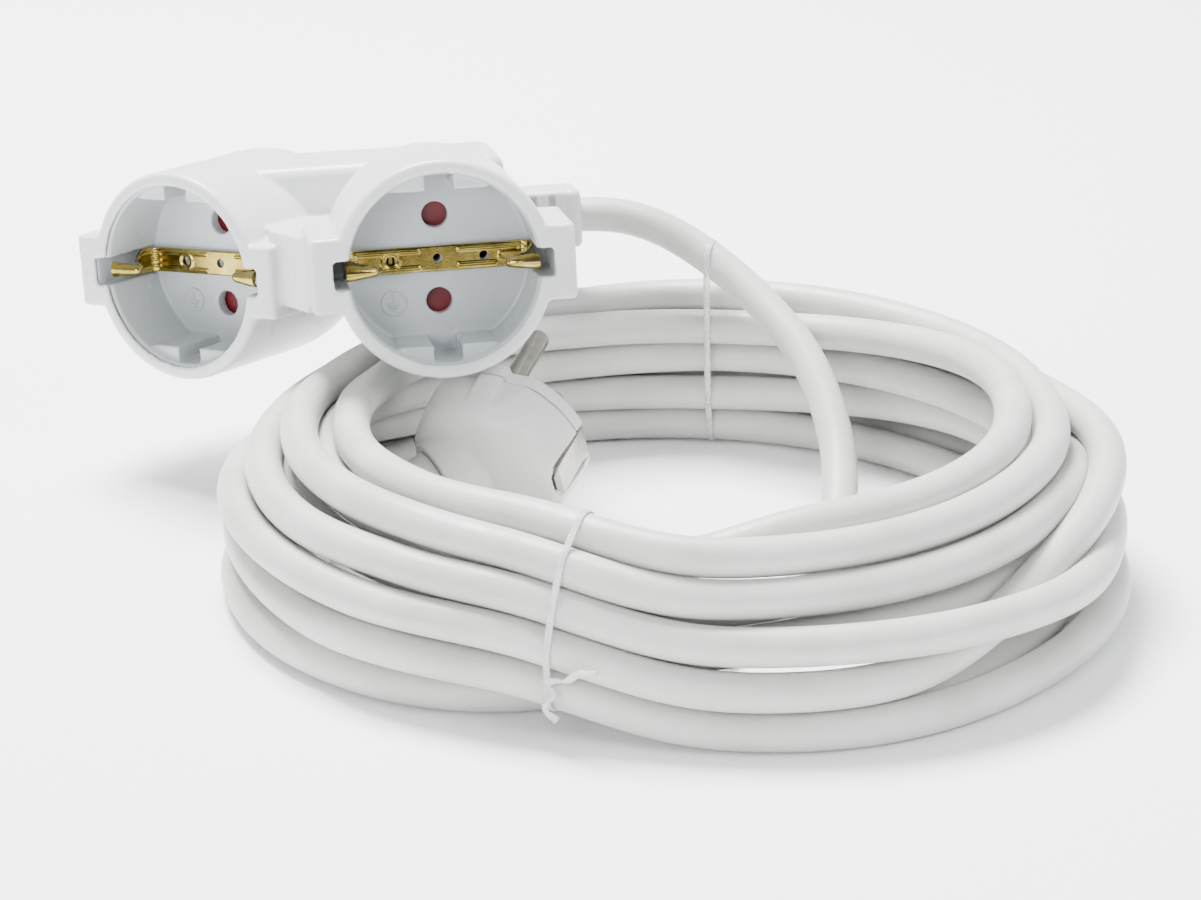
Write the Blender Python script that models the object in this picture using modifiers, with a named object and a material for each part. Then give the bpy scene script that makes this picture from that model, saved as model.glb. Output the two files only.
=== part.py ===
"""A two-way earthed extension lead, wound up and tied: a moulded V-shaped coupling with two recessed
sockets, an earthed plug and 5 m of round cable. Units are metres, +Z is up, and the lead lies on z = 0.

Socket, plug and tie pieces are built in local frames, each hung under an empty:
  a socket frame has its origin at the centre of the socket's front ring and +Z going into the socket,
  the plug frame has its origin at the centre of the plug's face and +Z along its pins,
  a tie frame has its origin at the coil's centre and +X pointing outwards through the tie.
"""

import math

import bmesh
import bpy
from mathutils import Matrix, Vector

MM = 0.001
GAP = 0.3 * MM
MERGE = 0.00001

# ---- driving dimensions -------------------------------------------------------------------------
CORD_DIAMETER = 8.0 * MM
CORE_DIAMETER = 2.5 * MM
PIN_PITCH = 19.0 * MM
PIN_DIAMETER = 4.8 * MM
PIN_LENGTH = 19.0 * MM
RECESS_DEPTH = 17.5 * MM
RECESS_RADIUS = 20.4 * MM
SOCKET_RADIUS = 23.75 * MM
TAB_SPAN = 57.0 * MM
PLUG_RADIUS = 18.8 * MM
SHUTTER_OPEN_DEG = 40.0

COIL_INNER_RADIUS = 76.0 * MM
COIL_OUTER_RADIUS = 98.0 * MM
COIL_HEIGHT = 36.5 * MM
COIL_CORNER = 7.0 * MM

# ---- placing ------------------------------------------------------------------------------------
# Everything below is stated from the coil's centre on the floor. The object's origin is the middle
# of the underside of its bounding box, which lies off the coil's centre because of the left socket.
COIL_CENTRE = Vector((19.25, -0.75, 0.0)) * MM

COUPLING_AT = Vector((-50.2, 10.8, 64.6)) * MM
COUPLING_BACK = Vector((-0.142, 0.978, -0.157))
COUPLING_UP = Vector((-0.047, 0.152, 0.988))
# The soft moulding lets the left socket hang a little below the right one's plane.
LEFT_SOCKET_AT = Vector((-56.7, 48.7, -5.4)) * MM
LEFT_SOCKET_BACK = Vector((0.675, 0.735, 0.03))
CABLE_EXIT = Vector((38.0, 66.0, 0.0)) * MM

PLUG_AT = Vector((-36.0, 24.8, 24.4)) * MM
PLUG_FACING = Vector((0.400, 0.809, 0.435))
PLUG_UP = Vector((-0.172, -0.398, 0.902))

TIE_ANGLES = {"twist_tie_front": -105.5, "twist_tie_back": 81.5}

# The uncoiled stretch, from the coupling's cable exit down to the floor inside the coil, and out to
# the coil's inner wall. The first point is the exit itself.
CORD_RUN = [
    (-22.0, 80.9, 55.1),
    (-14.1, 82.0, 55.2),
    (-4.5, 81.0, 52.9),
    (2.7, 78.5, 49.6),
    (9.9, 75.0, 45.4),
    (16.4, 70.0, 41.3),
    (22.4, 63.5, 36.8),
    (27.3, 57.5, 33.0),
    (31.0, 51.0, 28.4),
    (33.7, 44.5, 23.7),
    (35.5, 37.5, 18.7),
    (36.5, 29.5, 13.5),
    (36.1, 21.0, 8.6),
    (34.6, 10.5, 5.2),
    (31.4, -4.0, 4.3),
    (25.4, -21.0, 4.2),
    (16.0, -38.0, 4.2),
    (3.0, -53.5, 4.2),
    (-10.5, -64.5, 4.2),
    (-16.5, -68.3, 4.2),
]

WHITE_PVC = ("white_pvc", (0.80, 0.81, 0.79), 0.42, 0.0)
SOCKET_WHITE = ("socket_white", (0.86, 0.87, 0.87), 0.35, 0.0)
INSERT_WHITE = ("insert_white", (0.66, 0.70, 0.75), 0.30, 0.0)
CORD_WHITE = ("cord_white", (0.74, 0.75, 0.73), 0.45, 0.0)
SHUTTER_RED = ("shutter_red", (0.22, 0.03, 0.04), 0.35, 0.0)
BRASS = ("brass", (0.72, 0.53, 0.20), 0.28, 1.0)
NICKEL = ("nickel", (0.62, 0.60, 0.56), 0.25, 1.0)
SPRING_STEEL = ("spring_steel", (0.50, 0.50, 0.50), 0.30, 1.0)
TIE_CLEAR = ("tie_clear", (0.85, 0.86, 0.85), 0.25, 0.0)
CORE_BROWN = ("core_brown", (0.20, 0.09, 0.04), 0.45, 0.0)
CORE_BLUE = ("core_blue", (0.05, 0.16, 0.50), 0.45, 0.0)
CORE_EARTH = ("core_earth", (0.35, 0.55, 0.10), 0.45, 0.0)


# ---- helpers ------------------------------------------------------------------------------------
def clear_scene():
    for obj in list(bpy.data.objects):
        bpy.data.objects.remove(obj, do_unlink=True)


def new_collection(name):
    collection = bpy.data.collections.new(name)
    bpy.context.scene.collection.children.link(collection)
    return collection


clear_scene()
PARTS = new_collection("extension_cord")
CUTTERS = new_collection("cutters")


def material(spec):
    name, colour, roughness, metallic = spec
    found = bpy.data.materials.get(name)
    if found:
        return found
    made = bpy.data.materials.new(name)
    made.use_nodes = True
    shader = made.node_tree.nodes["Principled BSDF"]
    shader.inputs["Base Color"].default_value = (*colour, 1.0)
    shader.inputs["Roughness"].default_value = roughness
    shader.inputs["Metallic"].default_value = metallic
    return made


def frame(name, parent, matrix):
    empty = bpy.data.objects.new(name, None)
    empty.empty_display_size = 0.01
    PARTS.objects.link(empty)
    empty.parent = parent
    empty.matrix_local = matrix
    return empty


def basis(at, x_axis, z_axis):
    """A placing matrix with +Z along z_axis and +X as near x_axis as a right angle allows."""
    z = z_axis.normalized()
    y = z.cross(x_axis).normalized()
    x = y.cross(z)
    rows = [(x[i], y[i], z[i], at[i]) for i in range(3)]
    return Matrix((*rows, (0, 0, 0, 1)))


def add(name, mesh, parent, finish=None):
    """An object of its own for a sub-part, or a hidden helper when it has no finish."""
    obj = bpy.data.objects.new(name, mesh)
    obj.parent = parent
    if finish:
        obj.data.materials.append(material(finish))
        PARTS.objects.link(obj)
    else:
        obj.hide_render = True
        obj.display_type = "WIRE"
        CUTTERS.objects.link(obj)
    return obj


def mesh_from(name, bm):
    mesh = bpy.data.meshes.new(name)
    bm.to_mesh(mesh)
    bm.free()
    return mesh


def box(name, parent, low, high, finish=None, bevel=0.0):
    """A box between two corners, with its edges rounded where bevel is given."""
    low, high = Vector(low), Vector(high)
    bm = bmesh.new()
    place = Matrix.Translation((low + high) / 2) @ Matrix.Diagonal((*(high - low), 1.0))
    bmesh.ops.create_cube(bm, size=1.0, matrix=place)
    obj = add(name, mesh_from(name, bm), parent, finish)
    if bevel:
        rounded = obj.modifiers.new("rounded", "BEVEL")
        rounded.width = bevel
        rounded.segments = 2
    return obj


def rod(name, parent, start, end, radius, finish=None, end_radius=None, sides=32):
    """A cylinder or a cone from start to end."""
    start, end = Vector(start), Vector(end)
    along = end - start
    turn = along.to_track_quat("Z", "Y").to_matrix().to_4x4()
    bm = bmesh.new()
    bmesh.ops.create_cone(
        bm,
        cap_ends=True,
        segments=sides,
        radius1=radius,
        radius2=radius if end_radius is None else end_radius,
        depth=along.length,
        matrix=Matrix.Translation((start + end) / 2) @ turn,
    )
    obj = add(name, mesh_from(name, bm), parent, finish)
    obj.data.shade_smooth()
    obj.data.set_sharp_from_angle(angle=math.radians(40))
    return obj


def turned(name, parent, profile, finish=None, steps=48):
    """A profile of (radius, z) points, outer side from top to bottom, turned about Z."""
    bm = bmesh.new()
    points = [bm.verts.new((r, 0.0, z)) for r, z in profile]
    closed = profile[0][0] > 0
    for first, second in zip(points, points[1:] + points[:1] if closed else points[1:]):
        bm.edges.new((first, second))
    obj = add(name, mesh_from(name, bm), parent, finish)
    screw = obj.modifiers.new("turned", "SCREW")
    screw.steps = steps
    screw.render_steps = steps
    screw.use_merge_vertices = True
    screw.merge_threshold = MERGE
    return obj


def ribbon(name, parent, path, half_widths, thickness, finish=None, at_y=0.0, closed=False):
    """Sheet metal or tape: a path of (x, z) points drawn out along Y and thickened."""
    bm = bmesh.new()
    near = [bm.verts.new((x, at_y - w, z)) for (x, z), w in zip(path, half_widths)]
    pairs = zip(near, near[1:] + near[:1] if closed else near[1:])
    edges = [bm.edges.new(pair) for pair in pairs]
    made = bmesh.ops.extrude_edge_only(bm, edges=edges)["geom"]
    width_at = {(x, z): w for (x, z), w in zip(path, half_widths)}
    for vert in made:
        if isinstance(vert, bmesh.types.BMVert):
            nearest = min(width_at, key=lambda p: (p[0] - vert.co.x) ** 2 + (p[1] - vert.co.z) ** 2)
            vert.co.y = at_y + width_at[nearest]
    obj = add(name, mesh_from(name, bm), parent, finish)
    thick = obj.modifiers.new("thickness", "SOLIDIFY")
    thick.thickness = thickness
    thick.offset = 0.0
    return obj


def boolean(target, operation, others):
    for other in others:
        step = target.modifiers.new(other.name, "BOOLEAN")
        step.operation = operation
        step.object = other
    return target


def cut(target, *cutters):
    return boolean(target, "DIFFERENCE", cutters)


def join(target, *others):
    return boolean(target, "UNION", others)


def smooth_curve(points, spacing):
    """Points an even distance apart on a smooth curve through the given ones."""
    points = [Vector(p) for p in points]
    ends = [2 * points[0] - points[1], *points, 2 * points[-1] - points[-2]]
    fine = []
    for a, b, c, d in zip(ends, ends[1:], ends[2:], ends[3:]):
        for step in range(12):
            t = step / 12
            fine.append(
                (2 * b + (c - a) * t + (2 * a - 5 * b + 4 * c - d) * t**2
                 + (3 * b - a - 3 * c + d) * t**3) / 2
            )
    fine.append(points[-1])
    lengths = [0.0]
    for a, b in zip(fine, fine[1:]):
        lengths.append(lengths[-1] + (b - a).length)
    count = max(2, round(lengths[-1] / spacing))
    even = []
    index = 0
    for step in range(count + 1):
        target = lengths[-1] * step / count
        while index < len(fine) - 2 and lengths[index + 1] < target:
            index += 1
        span = lengths[index + 1] - lengths[index]
        even.append(fine[index].lerp(fine[index + 1], (target - lengths[index]) / span))
    return even


def tube(name, parent, points, radius, finish, bevel_resolution=3):
    curve = bpy.data.curves.new(name, "CURVE")
    curve.dimensions = "3D"
    curve.bevel_depth = radius
    curve.bevel_resolution = bevel_resolution
    curve.use_fill_caps = True
    spline = curve.splines.new("POLY")
    spline.points.add(len(points) - 1)
    for point, place in zip(spline.points, points):
        point.co = (*place, 1.0)
    return add(name, curve, parent, finish)


def mirrored(path):
    """A half path from the middle outwards, made whole across x = 0."""
    return [(-x, z) for x, z in reversed(path)] + path


# ---- frames -------------------------------------------------------------------------------------
ROOT = frame("lead_root", None, Matrix.Translation(COIL_CENTRE))
COUPLING = frame(
    "coupling_frame", ROOT,
    basis(COUPLING_AT, COUPLING_BACK.cross(COUPLING_UP), COUPLING_UP),
)
# In the coupling's frame +Y goes back along the right socket's axis, and +Z is its upper side.
SOCKET_PLACES = {
    "right": basis(Vector((0, 0, 0)), Vector((1, 0, 0)), Vector((0, 1, 0))),
    "left": basis(LEFT_SOCKET_AT, LEFT_SOCKET_BACK.cross(Vector((0, 0, 1))), LEFT_SOCKET_BACK),
}
SOCKETS = {
    side: frame(f"{side}_socket_frame", COUPLING, place) for side, place in SOCKET_PLACES.items()
}
PLUG = frame("plug_frame", ROOT, basis(PLUG_AT, PLUG_FACING.cross(PLUG_UP), PLUG_FACING))


def in_coupling(side, x, z, y=0.0):
    """A point of a socket frame, in the coupling's frame."""
    return SOCKET_PLACES[side] @ Vector((x, y, z))


# ---- coupling body ------------------------------------------------------------------------------
FULL_LENGTH = {"right": 28.0 * MM, "left": 32.0 * MM}
BARREL_END = {"right": 58.0 * MM, "left": 46.5 * MM}
TAPER_END = 46.0 * MM
BACK_RADIUS = 16.4 * MM
LIP_RADIUS = 20.8 * MM
LIP_DEPTH = 1.0 * MM
POCKET_RADIUS = 22.1 * MM
POCKET_DEPTH = 23.0 * MM
CHAMBER_RADIUS = 15.4 * MM
CHAMBER_DEPTH = 41.0 * MM
TAB_HALF_HEIGHT = 8.25 * MM
NOTCH_REACH = 23.8 * MM
NOTCH_HALF_HEIGHT = 3.1 * MM
WING_REACH = 25.6 * MM
WING_HALF_HEIGHT = 4.8 * MM
BAR = ((-40.0 * MM, 53.0 * MM, -16.0 * MM), (20.0 * MM, 81.0 * MM, 17.0 * MM))
CHAMBER_LOW = -13.2 * MM
CHAMBER_HIGH = 12.6 * MM


def barrel_profile(side):
    """The outside of a socket's barrel, from its back end to its front ring."""
    start = FULL_LENGTH[side]
    shoulder = [
        (
            BACK_RADIUS + (SOCKET_RADIUS - BACK_RADIUS) * math.cos(math.radians(angle)),
            start + (TAPER_END - start) * math.sin(math.radians(angle)),
        )
        for angle in (90, 72, 54, 36, 18)
    ]
    end = BARREL_END[side]
    front = [(SOCKET_RADIUS, start), (SOCKET_RADIUS, 0.8 * MM), (SOCKET_RADIUS - 0.8 * MM, 0)]
    return [(0, end), (BACK_RADIUS, end), *shoulder, *front, (0, 0)]


def socket_outside(side):
    empty = SOCKETS[side]
    reach = TAB_SPAN / 2
    yield turned(f"{side}_barrel", empty, barrel_profile(side), steps=56)
    yield box(
        f"{side}_tabs", empty,
        (-reach, -TAB_HALF_HEIGHT, 0.1 * MM), (reach, TAB_HALF_HEIGHT, 27.0 * MM), bevel=0.8 * MM,
    )


def socket_hollow(side):
    """Everything that is hollow in one socket's barrel: mouth, insert pocket and contact chamber."""
    empty = SOCKETS[side]
    bottom = POCKET_DEPTH
    hollow = rod(f"{side}_pocket", empty, (0, 0, LIP_DEPTH), (0, 0, bottom), POCKET_RADIUS, sides=56)
    return join(
        hollow,
        box(
            f"{side}_wing_pocket", empty,
            (-WING_REACH, -WING_HALF_HEIGHT, LIP_DEPTH + 0.1 * MM),
            (WING_REACH, WING_HALF_HEIGHT, bottom - 0.4 * MM),
        ),
        rod(f"{side}_mouth", empty, (0, 0, -MM), (0, 0, 2 * MM), LIP_RADIUS, sides=56),
        box(
            f"{side}_notches", empty,
            (-NOTCH_REACH, -NOTCH_HALF_HEIGHT, -0.7 * MM), (NOTCH_REACH, NOTCH_HALF_HEIGHT, 1.6 * MM),
        ),
        rod(f"{side}_chamber", empty, (0, 0, bottom - MM), (0, 0, CHAMBER_DEPTH), CHAMBER_RADIUS),
    )


def coupling_web():
    """The thin web that closes the fork between the two sockets, as a flat outline in plan."""
    outline = [(-35.5, 35.0), (-28.8, 18.0), (-16.0, 18.0), (-16.0, 60.0), (-34.0, 60.0)]
    bm = bmesh.new()
    corners = [bm.verts.new((x * MM, y * MM, -10.5 * MM)) for x, y in outline]
    face = bm.faces.new(corners)
    raised = bmesh.ops.extrude_face_region(bm, geom=[face])["geom"]
    lifted = [v for v in raised if isinstance(v, bmesh.types.BMVert)]
    bmesh.ops.translate(bm, verts=lifted, vec=(0, 0, 16.5 * MM))
    bmesh.ops.recalc_face_normals(bm, faces=bm.faces)
    return add("web", mesh_from("web", bm), COUPLING)


def coupling_body():
    body = box("coupling_body", COUPLING, *BAR, finish=SOCKET_WHITE, bevel=3.0 * MM)
    join(body, *socket_outside("right"), *socket_outside("left"), coupling_web())
    low, high = CHAMBER_LOW, CHAMBER_HIGH
    cut(body, socket_hollow("right"), socket_hollow("left"))
    cut(
        body,
        box("bar_chamber", COUPLING, (-33.0 * MM, 57 * MM, low), (16.5 * MM, 77 * MM, high)),
        # Two boxes, because one with these sides would break out of the round neck at its corners.
        box("neck_chamber", COUPLING, (-8.0 * MM, 38 * MM, low + 0.1 * MM), (7.5 * MM, 60 * MM, high - 0.1 * MM)),
        box("link_chamber", COUPLING, (-12.5 * MM, 38.1 * MM, -6.5 * MM), (0, 59.9 * MM, 6.4 * MM)),
        rod(
            "cable_way", COUPLING, CABLE_EXIT - Vector((26 * MM, 0, 0)), CABLE_EXIT,
            3.9 * MM, sides=24,
        ),
    )


# ---- socket pieces ------------------------------------------------------------------------------
FLOOR_BACK = RECESS_DEPTH + 2.9 * MM
PIN_HOLE_RADIUS = 2.85 * MM
GUIDE_FLAT = 16.8 * MM
PIVOT_RADIUS = 1.4 * MM
LINK_REACH = 10.2 * MM
SHUTTER_FRONT = FLOOR_BACK + GAP
SHUTTER_BACK = SHUTTER_FRONT + 1.6 * MM


def socket_insert(side):
    """The moulded cup inside a socket: wall, floor, guide blocks, pin holes and shutter pivot."""
    empty = SOCKETS[side]
    front = LIP_DEPTH + GAP
    wall = POCKET_RADIUS - GAP
    wing = WING_REACH - GAP
    wing_half = WING_HALF_HEIGHT - GAP
    insert = turned(
        f"{side}_socket_insert", empty,
        [(0, FLOOR_BACK), (wall, FLOOR_BACK), (wall, front), (0, front)],
        finish=INSERT_WHITE, steps=56,
    )
    join(insert, box(
        f"{side}_wings", empty,
        (-wing, -wing_half, front + 0.1 * MM), (wing, wing_half, FLOOR_BACK - 0.1 * MM),
    ))
    cut(insert, rod(f"{side}_recess", empty, (0, 0, -MM), (0, 0, RECESS_DEPTH), RECESS_RADIUS, sides=56))
    blocks = []
    for row in (-1, 1):
        for column in (-1, 1):
            xs = sorted((column * 3.0 * MM, column * 11.6 * MM))
            ys = sorted((row * GUIDE_FLAT, row * 21.0 * MM))
            blocks.append(box(
                f"{side}_guide_{row}_{column}", empty,
                (xs[0], ys[0], 2.6 * MM), (xs[1], ys[1], RECESS_DEPTH + MM),
            ))
    within = rod(f"{side}_guide_limit", empty, (0, 0, 0), (0, 0, 21 * MM), POCKET_RADIUS - 0.8 * MM, sides=56)
    join(insert, *[boolean(block, "INTERSECT", [within]) for block in blocks])
    link_x = LINK_REACH if side == "left" else -LINK_REACH
    pitch = PIN_PITCH / 2
    cut(
        insert,
        box(
            f"{side}_channel", empty,
            (-NOTCH_REACH, -NOTCH_HALF_HEIGHT, -MM), (NOTCH_REACH, NOTCH_HALF_HEIGHT, RECESS_DEPTH),
        ),
        rod(f"{side}_line_hole", empty, (0, -pitch, 15 * MM), (0, -pitch, 22 * MM), PIN_HOLE_RADIUS),
        rod(f"{side}_neutral_hole", empty, (0, pitch, 15 * MM), (0, pitch, 22 * MM), PIN_HOLE_RADIUS),
        box(
            f"{side}_link_slot", empty,
            (link_x - 0.9 * MM, -2.5 * MM, 15 * MM), (link_x + 0.9 * MM, 2.5 * MM, 22 * MM),
        ),
    )
    join(insert, rod(
        f"{side}_pivot", empty, (0, 0, FLOOR_BACK - MM), (0, 0, 27 * MM), PIVOT_RADIUS, sides=20,
    ))


def earth_clip(side):
    """The earth contact: a strip across the floor whose two springy arms come forward to the rim."""
    half = [
        (18.9, 16.7), (19.9, 16.2), (20.5, 15.2), (20.5, 12.0), (19.6, 9.6), (16.9, 6.4),
        (16.4, 4.9), (17.4, 3.6), (20.2, 2.6), (22.6, 2.4),
    ]
    widths = [2.8, 2.8, 2.8, 2.8, 2.6, 1.5, 1.5, 1.5, 1.5, 1.5]
    path = mirrored([(x * MM, z * MM) for x, z in half])
    all_widths = [w * MM for w in (*reversed(widths), *widths)]
    clip = ribbon(f"{side}_earth_clip", SOCKETS[side], path, all_widths, 0.8 * MM, BRASS)
    holes = [
        rod(
            f"{side}_clip_hole_{index}", SOCKETS[side],
            (index * LINK_REACH, 0, 15 * MM), (index * LINK_REACH, 0, 18.2 * MM), 0.95 * MM, sides=16,
        )
        for index in (-1, 0, 1)
    ]
    cut(clip, *holes)


def shutter(side):
    """A two-armed shutter that turns about the socket's axis and covers both pin holes at rest."""
    empty = SOCKETS[side]
    front, back = SHUTTER_FRONT, SHUTTER_BACK
    pitch = PIN_PITCH / 2
    plate = rod(f"{side}_shutter", empty, (0, 0, front), (0, 0, back), 4.2 * MM, SHUTTER_RED)
    join(
        plate,
        box(f"{side}_shutter_arm", empty, (-2.6 * MM, -pitch, front), (2.6 * MM, pitch, back)),
        rod(f"{side}_shutter_pad_a", empty, (0, -pitch, front), (0, -pitch, back), 3.4 * MM),
        rod(f"{side}_shutter_pad_b", empty, (0, pitch, front), (0, pitch, back), 3.4 * MM),
    )
    cut(plate, rod(
        f"{side}_shutter_bore", empty, (0, 0, front - MM), (0, 0, back + MM), PIVOT_RADIUS + GAP, sides=20,
    ))


def shutter_spring(side):
    """A torsion spring round the pivot, with one leg to the housing."""
    wire = 0.3 * MM
    turns, per_turn = 3, 12
    radius = 2.3 * MM
    start, rise = SHUTTER_BACK + GAP + wire, 0.95 * MM
    points = []
    for step in range(turns * per_turn + 1):
        angle = 2 * math.pi * step / per_turn
        points.append((radius * math.cos(angle), radius * math.sin(angle), start + rise * step / per_turn))
    points.append((radius, 5.0 * MM, points[-1][2] + 0.2 * MM))
    tube(f"{side}_shutter_spring", SOCKETS[side], points, wire, SPRING_STEEL, bevel_resolution=2)


# ---- current-carrying pieces --------------------------------------------------------------------
CONTACT_TOP = 38.6 * MM
CRIMP_START = 3.0 * MM
CRIMP_END = 8.5 * MM
CRIMP_RADIUS = 1.9 * MM
CRIMP_Y = CABLE_EXIT.y
LINE_HEIGHT = 8.6 * MM
NEUTRAL_HEIGHT = -10.0 * MM
BRANCH_HEIGHT = -4.9 * MM
CORE_END = CRIMP_END + 1.2 * MM


def spring_contact(side, name, y):
    """A forked contact that grips one pin, open towards the pin hole."""
    half = [(1.4, 38.6), (2.75, 37.2), (2.75, 25.4), (3.4, 23.6)]
    path = mirrored([(x * MM, z * MM) for x, z in half])
    return ribbon(name, SOCKETS[side], path, [2.5 * MM] * len(path), 0.7 * MM, at_y=y)


def flat_bar(name, points, height, finish=None, half_width=2.3 * MM):
    """A bus bar on edge: a path in plan, drawn out along the coupling's Z."""
    upright = frame(f"{name}_frame", COUPLING, Matrix.Rotation(math.radians(90), 4, "X"))
    path = [(x, -y) for x, y in points]
    obj = ribbon(name, upright, path, [half_width] * len(path), 0.8 * MM, finish, at_y=height)
    return obj


def busbar(name, row, height):
    """One pole: a forked contact in each socket, the bar between them, and a crimp for its core."""
    socket_y = -row * PIN_PITCH / 2
    left_end = in_coupling("left", 0, CONTACT_TOP)
    plan = [
        (0, CONTACT_TOP - 0.2 * MM), (0, 52 * MM), (-4 * MM, 60 * MM), (-13 * MM, 66.5 * MM),
        (-23 * MM, 71.5 * MM), (left_end.x, left_end.y),
    ]
    bar = flat_bar(name, plan, height, BRASS)
    tail = flat_bar(
        f"{name}_tail", [(-4.6 * MM, 60.4 * MM), (-1.5 * MM, 64.5 * MM), (3.6 * MM, CRIMP_Y)], height,
    )
    crimp = rod(
        f"{name}_crimp", COUPLING,
        (CRIMP_START, CRIMP_Y, height), (CRIMP_END, CRIMP_Y, height), CRIMP_RADIUS, sides=20,
    )
    join(
        bar, tail, crimp,
        spring_contact("right", f"{name}_right_fork", socket_y),
        spring_contact("left", f"{name}_left_fork", socket_y),
    )


def earth_link():
    """The strip that joins both earth clips to the earth core, with a lower branch to the left socket."""
    start = RECESS_DEPTH + 0.1 * MM
    plan = [
        (-LINK_REACH, start), (-LINK_REACH, 50 * MM), (-8.6 * MM, 58.5 * MM), (-3.5 * MM, 64 * MM),
        (3.6 * MM, CRIMP_Y),
    ]
    link = flat_bar("earth_link", plan, 0.0, BRASS, half_width=2.0 * MM)
    first = in_coupling("left", LINK_REACH, start)
    second = in_coupling("left", LINK_REACH, 34 * MM)
    branch = [
        (first.x, first.y), (second.x, second.y), (-19 * MM, 68.5 * MM), (-12 * MM, 66.5 * MM),
        (-5.0 * MM, 62.6 * MM),
    ]
    crimp = rod(
        "earth_crimp", COUPLING,
        (CRIMP_START, CRIMP_Y, 0), (CRIMP_END, CRIMP_Y, 0), CRIMP_RADIUS, sides=20,
    )
    riser = rod(
        "earth_riser", COUPLING,
        (-5.0 * MM, 62.4 * MM, BRANCH_HEIGHT - 1.4 * MM), (-5.0 * MM, 62.4 * MM, 1.5 * MM),
        1.2 * MM, sides=16,
    )
    join(link, flat_bar("earth_branch", branch, BRANCH_HEIGHT, half_width=1.6 * MM), riser, crimp)


def coupling_cores():
    """The three cores, from the cord's stripped end in the cable way to their crimps."""
    finishes = {
        "line": (CORE_BROWN, 90, LINE_HEIGHT),
        "neutral": (CORE_BLUE, 210, NEUTRAL_HEIGHT),
        "earth": (CORE_EARTH, 330, 0.0),
    }
    for name, (finish, angle, height) in finishes.items():
        across = Vector((0, math.cos(math.radians(angle)), math.sin(math.radians(angle)))) * 1.6 * MM
        lay = CABLE_EXIT + across
        points = [
            lay + Vector((-0.4, 0, 0)) * MM, lay + Vector((-10, 0, 0)) * MM, lay + Vector((-19, 0, 0)) * MM,
            Vector((15.0 * MM, lay.y, lay.z + (height - lay.z) * 0.12)),
            Vector((11.5 * MM, (lay.y + CRIMP_Y) / 2, lay.z + (height - lay.z) * 0.72)),
            Vector((CORE_END, CRIMP_Y, height)),
        ]
        tube(
            f"coupling_{name}_core", COUPLING, smooth_curve(points, 3.2 * MM), CORE_DIAMETER / 2, finish,
            bevel_resolution=2,
        )


def coupling_cord_grip():
    """The bend relief at the cable exit: a block with flexing slots and an end collar."""
    x, y, z = CABLE_EXIT
    half = 6.7 * MM
    grip = box(
        "coupling_cord_grip", COUPLING,
        (20 * MM + GAP, y - half, z - half), (x - 3.4 * MM, y + half, z + half), SOCKET_WHITE, bevel=1.2 * MM,
    )
    join(grip, box(
        "grip_collar", COUPLING,
        (x - 4.2 * MM, y - half - 0.1 * MM, z - half - 0.1 * MM),
        (x - 0.1 * MM, y + half + 0.1 * MM, z + half + 0.1 * MM), bevel=1.4 * MM,
    ))
    slots = []
    for index in range(2):
        at = x - (7.0 + 4.4 * index) * MM
        for face in (-1, 1):
            slots.append(box(
                f"grip_slot_{index}_{face}", COUPLING,
                (at - 0.8 * MM, y + face * 8 * MM - 3.2 * MM, z - 5.0 * MM),
                (at + 0.8 * MM, y + face * 8 * MM + 3.2 * MM, z + 5.6 * MM),
            ))
    cut(grip, *slots)
    cut(grip, rod(
        "grip_bore", COUPLING, CABLE_EXIT - Vector((22 * MM, 0, 0)), CABLE_EXIT + Vector((MM, 0, 0)),
        3.5 * MM, sides=24,
    ))


# ---- plug ---------------------------------------------------------------------------------------
PLUG_ENTRY = 17.0 * MM
PLUG_FACE_THICKNESS = 3.2 * MM
CONTACT_SLOT_HALF = 4.9 * MM
CONTACT_SEAT = 16.6 * MM
PLUG_KEY_FLAT = 16.3 * MM
GRIP_START = Vector((-7.0, 0.0, -17.0)) * MM
GRIP_ALONG = Vector((-0.574, 0.0, -0.819))
GRIP_LENGTH = 20.0 * MM
BOSS_LENGTH = 4.5 * MM
PLUG_CORE_RADIUS = 1.15 * MM
PIN_TAIL = -12.5 * MM
YOKE_BACK = -14.4 * MM
YOKE_HALF_WIDTH = 2.0 * MM


def plug_shape(name, profile, finish):
    """A turned plug part, with the earth-contact seats and the guide grooves cut into its sides."""
    part = turned(name, PLUG, profile, finish, steps=48)
    cutters = []
    for side in (-1, 1):
        xs = sorted((side * CONTACT_SEAT, side * 22 * MM))
        cutters.append(box(
            f"{name}_seat_{side}", PLUG,
            (xs[0], -CONTACT_SLOT_HALF, -PLUG_ENTRY + 0.6 * MM), (xs[1], CONTACT_SLOT_HALF, MM),
        ))
        for column in (-1, 1):
            gx = sorted((column * 2.8 * MM, column * 12.6 * MM))
            gy = sorted((side * PLUG_KEY_FLAT, side * 22 * MM))
            cutters.append(box(
                f"{name}_groove_{side}_{column}", PLUG,
                (gx[0], gy[0], -15.0 * MM), (gx[1], gy[1], MM),
            ))
    return cut(part, *cutters)


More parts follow.
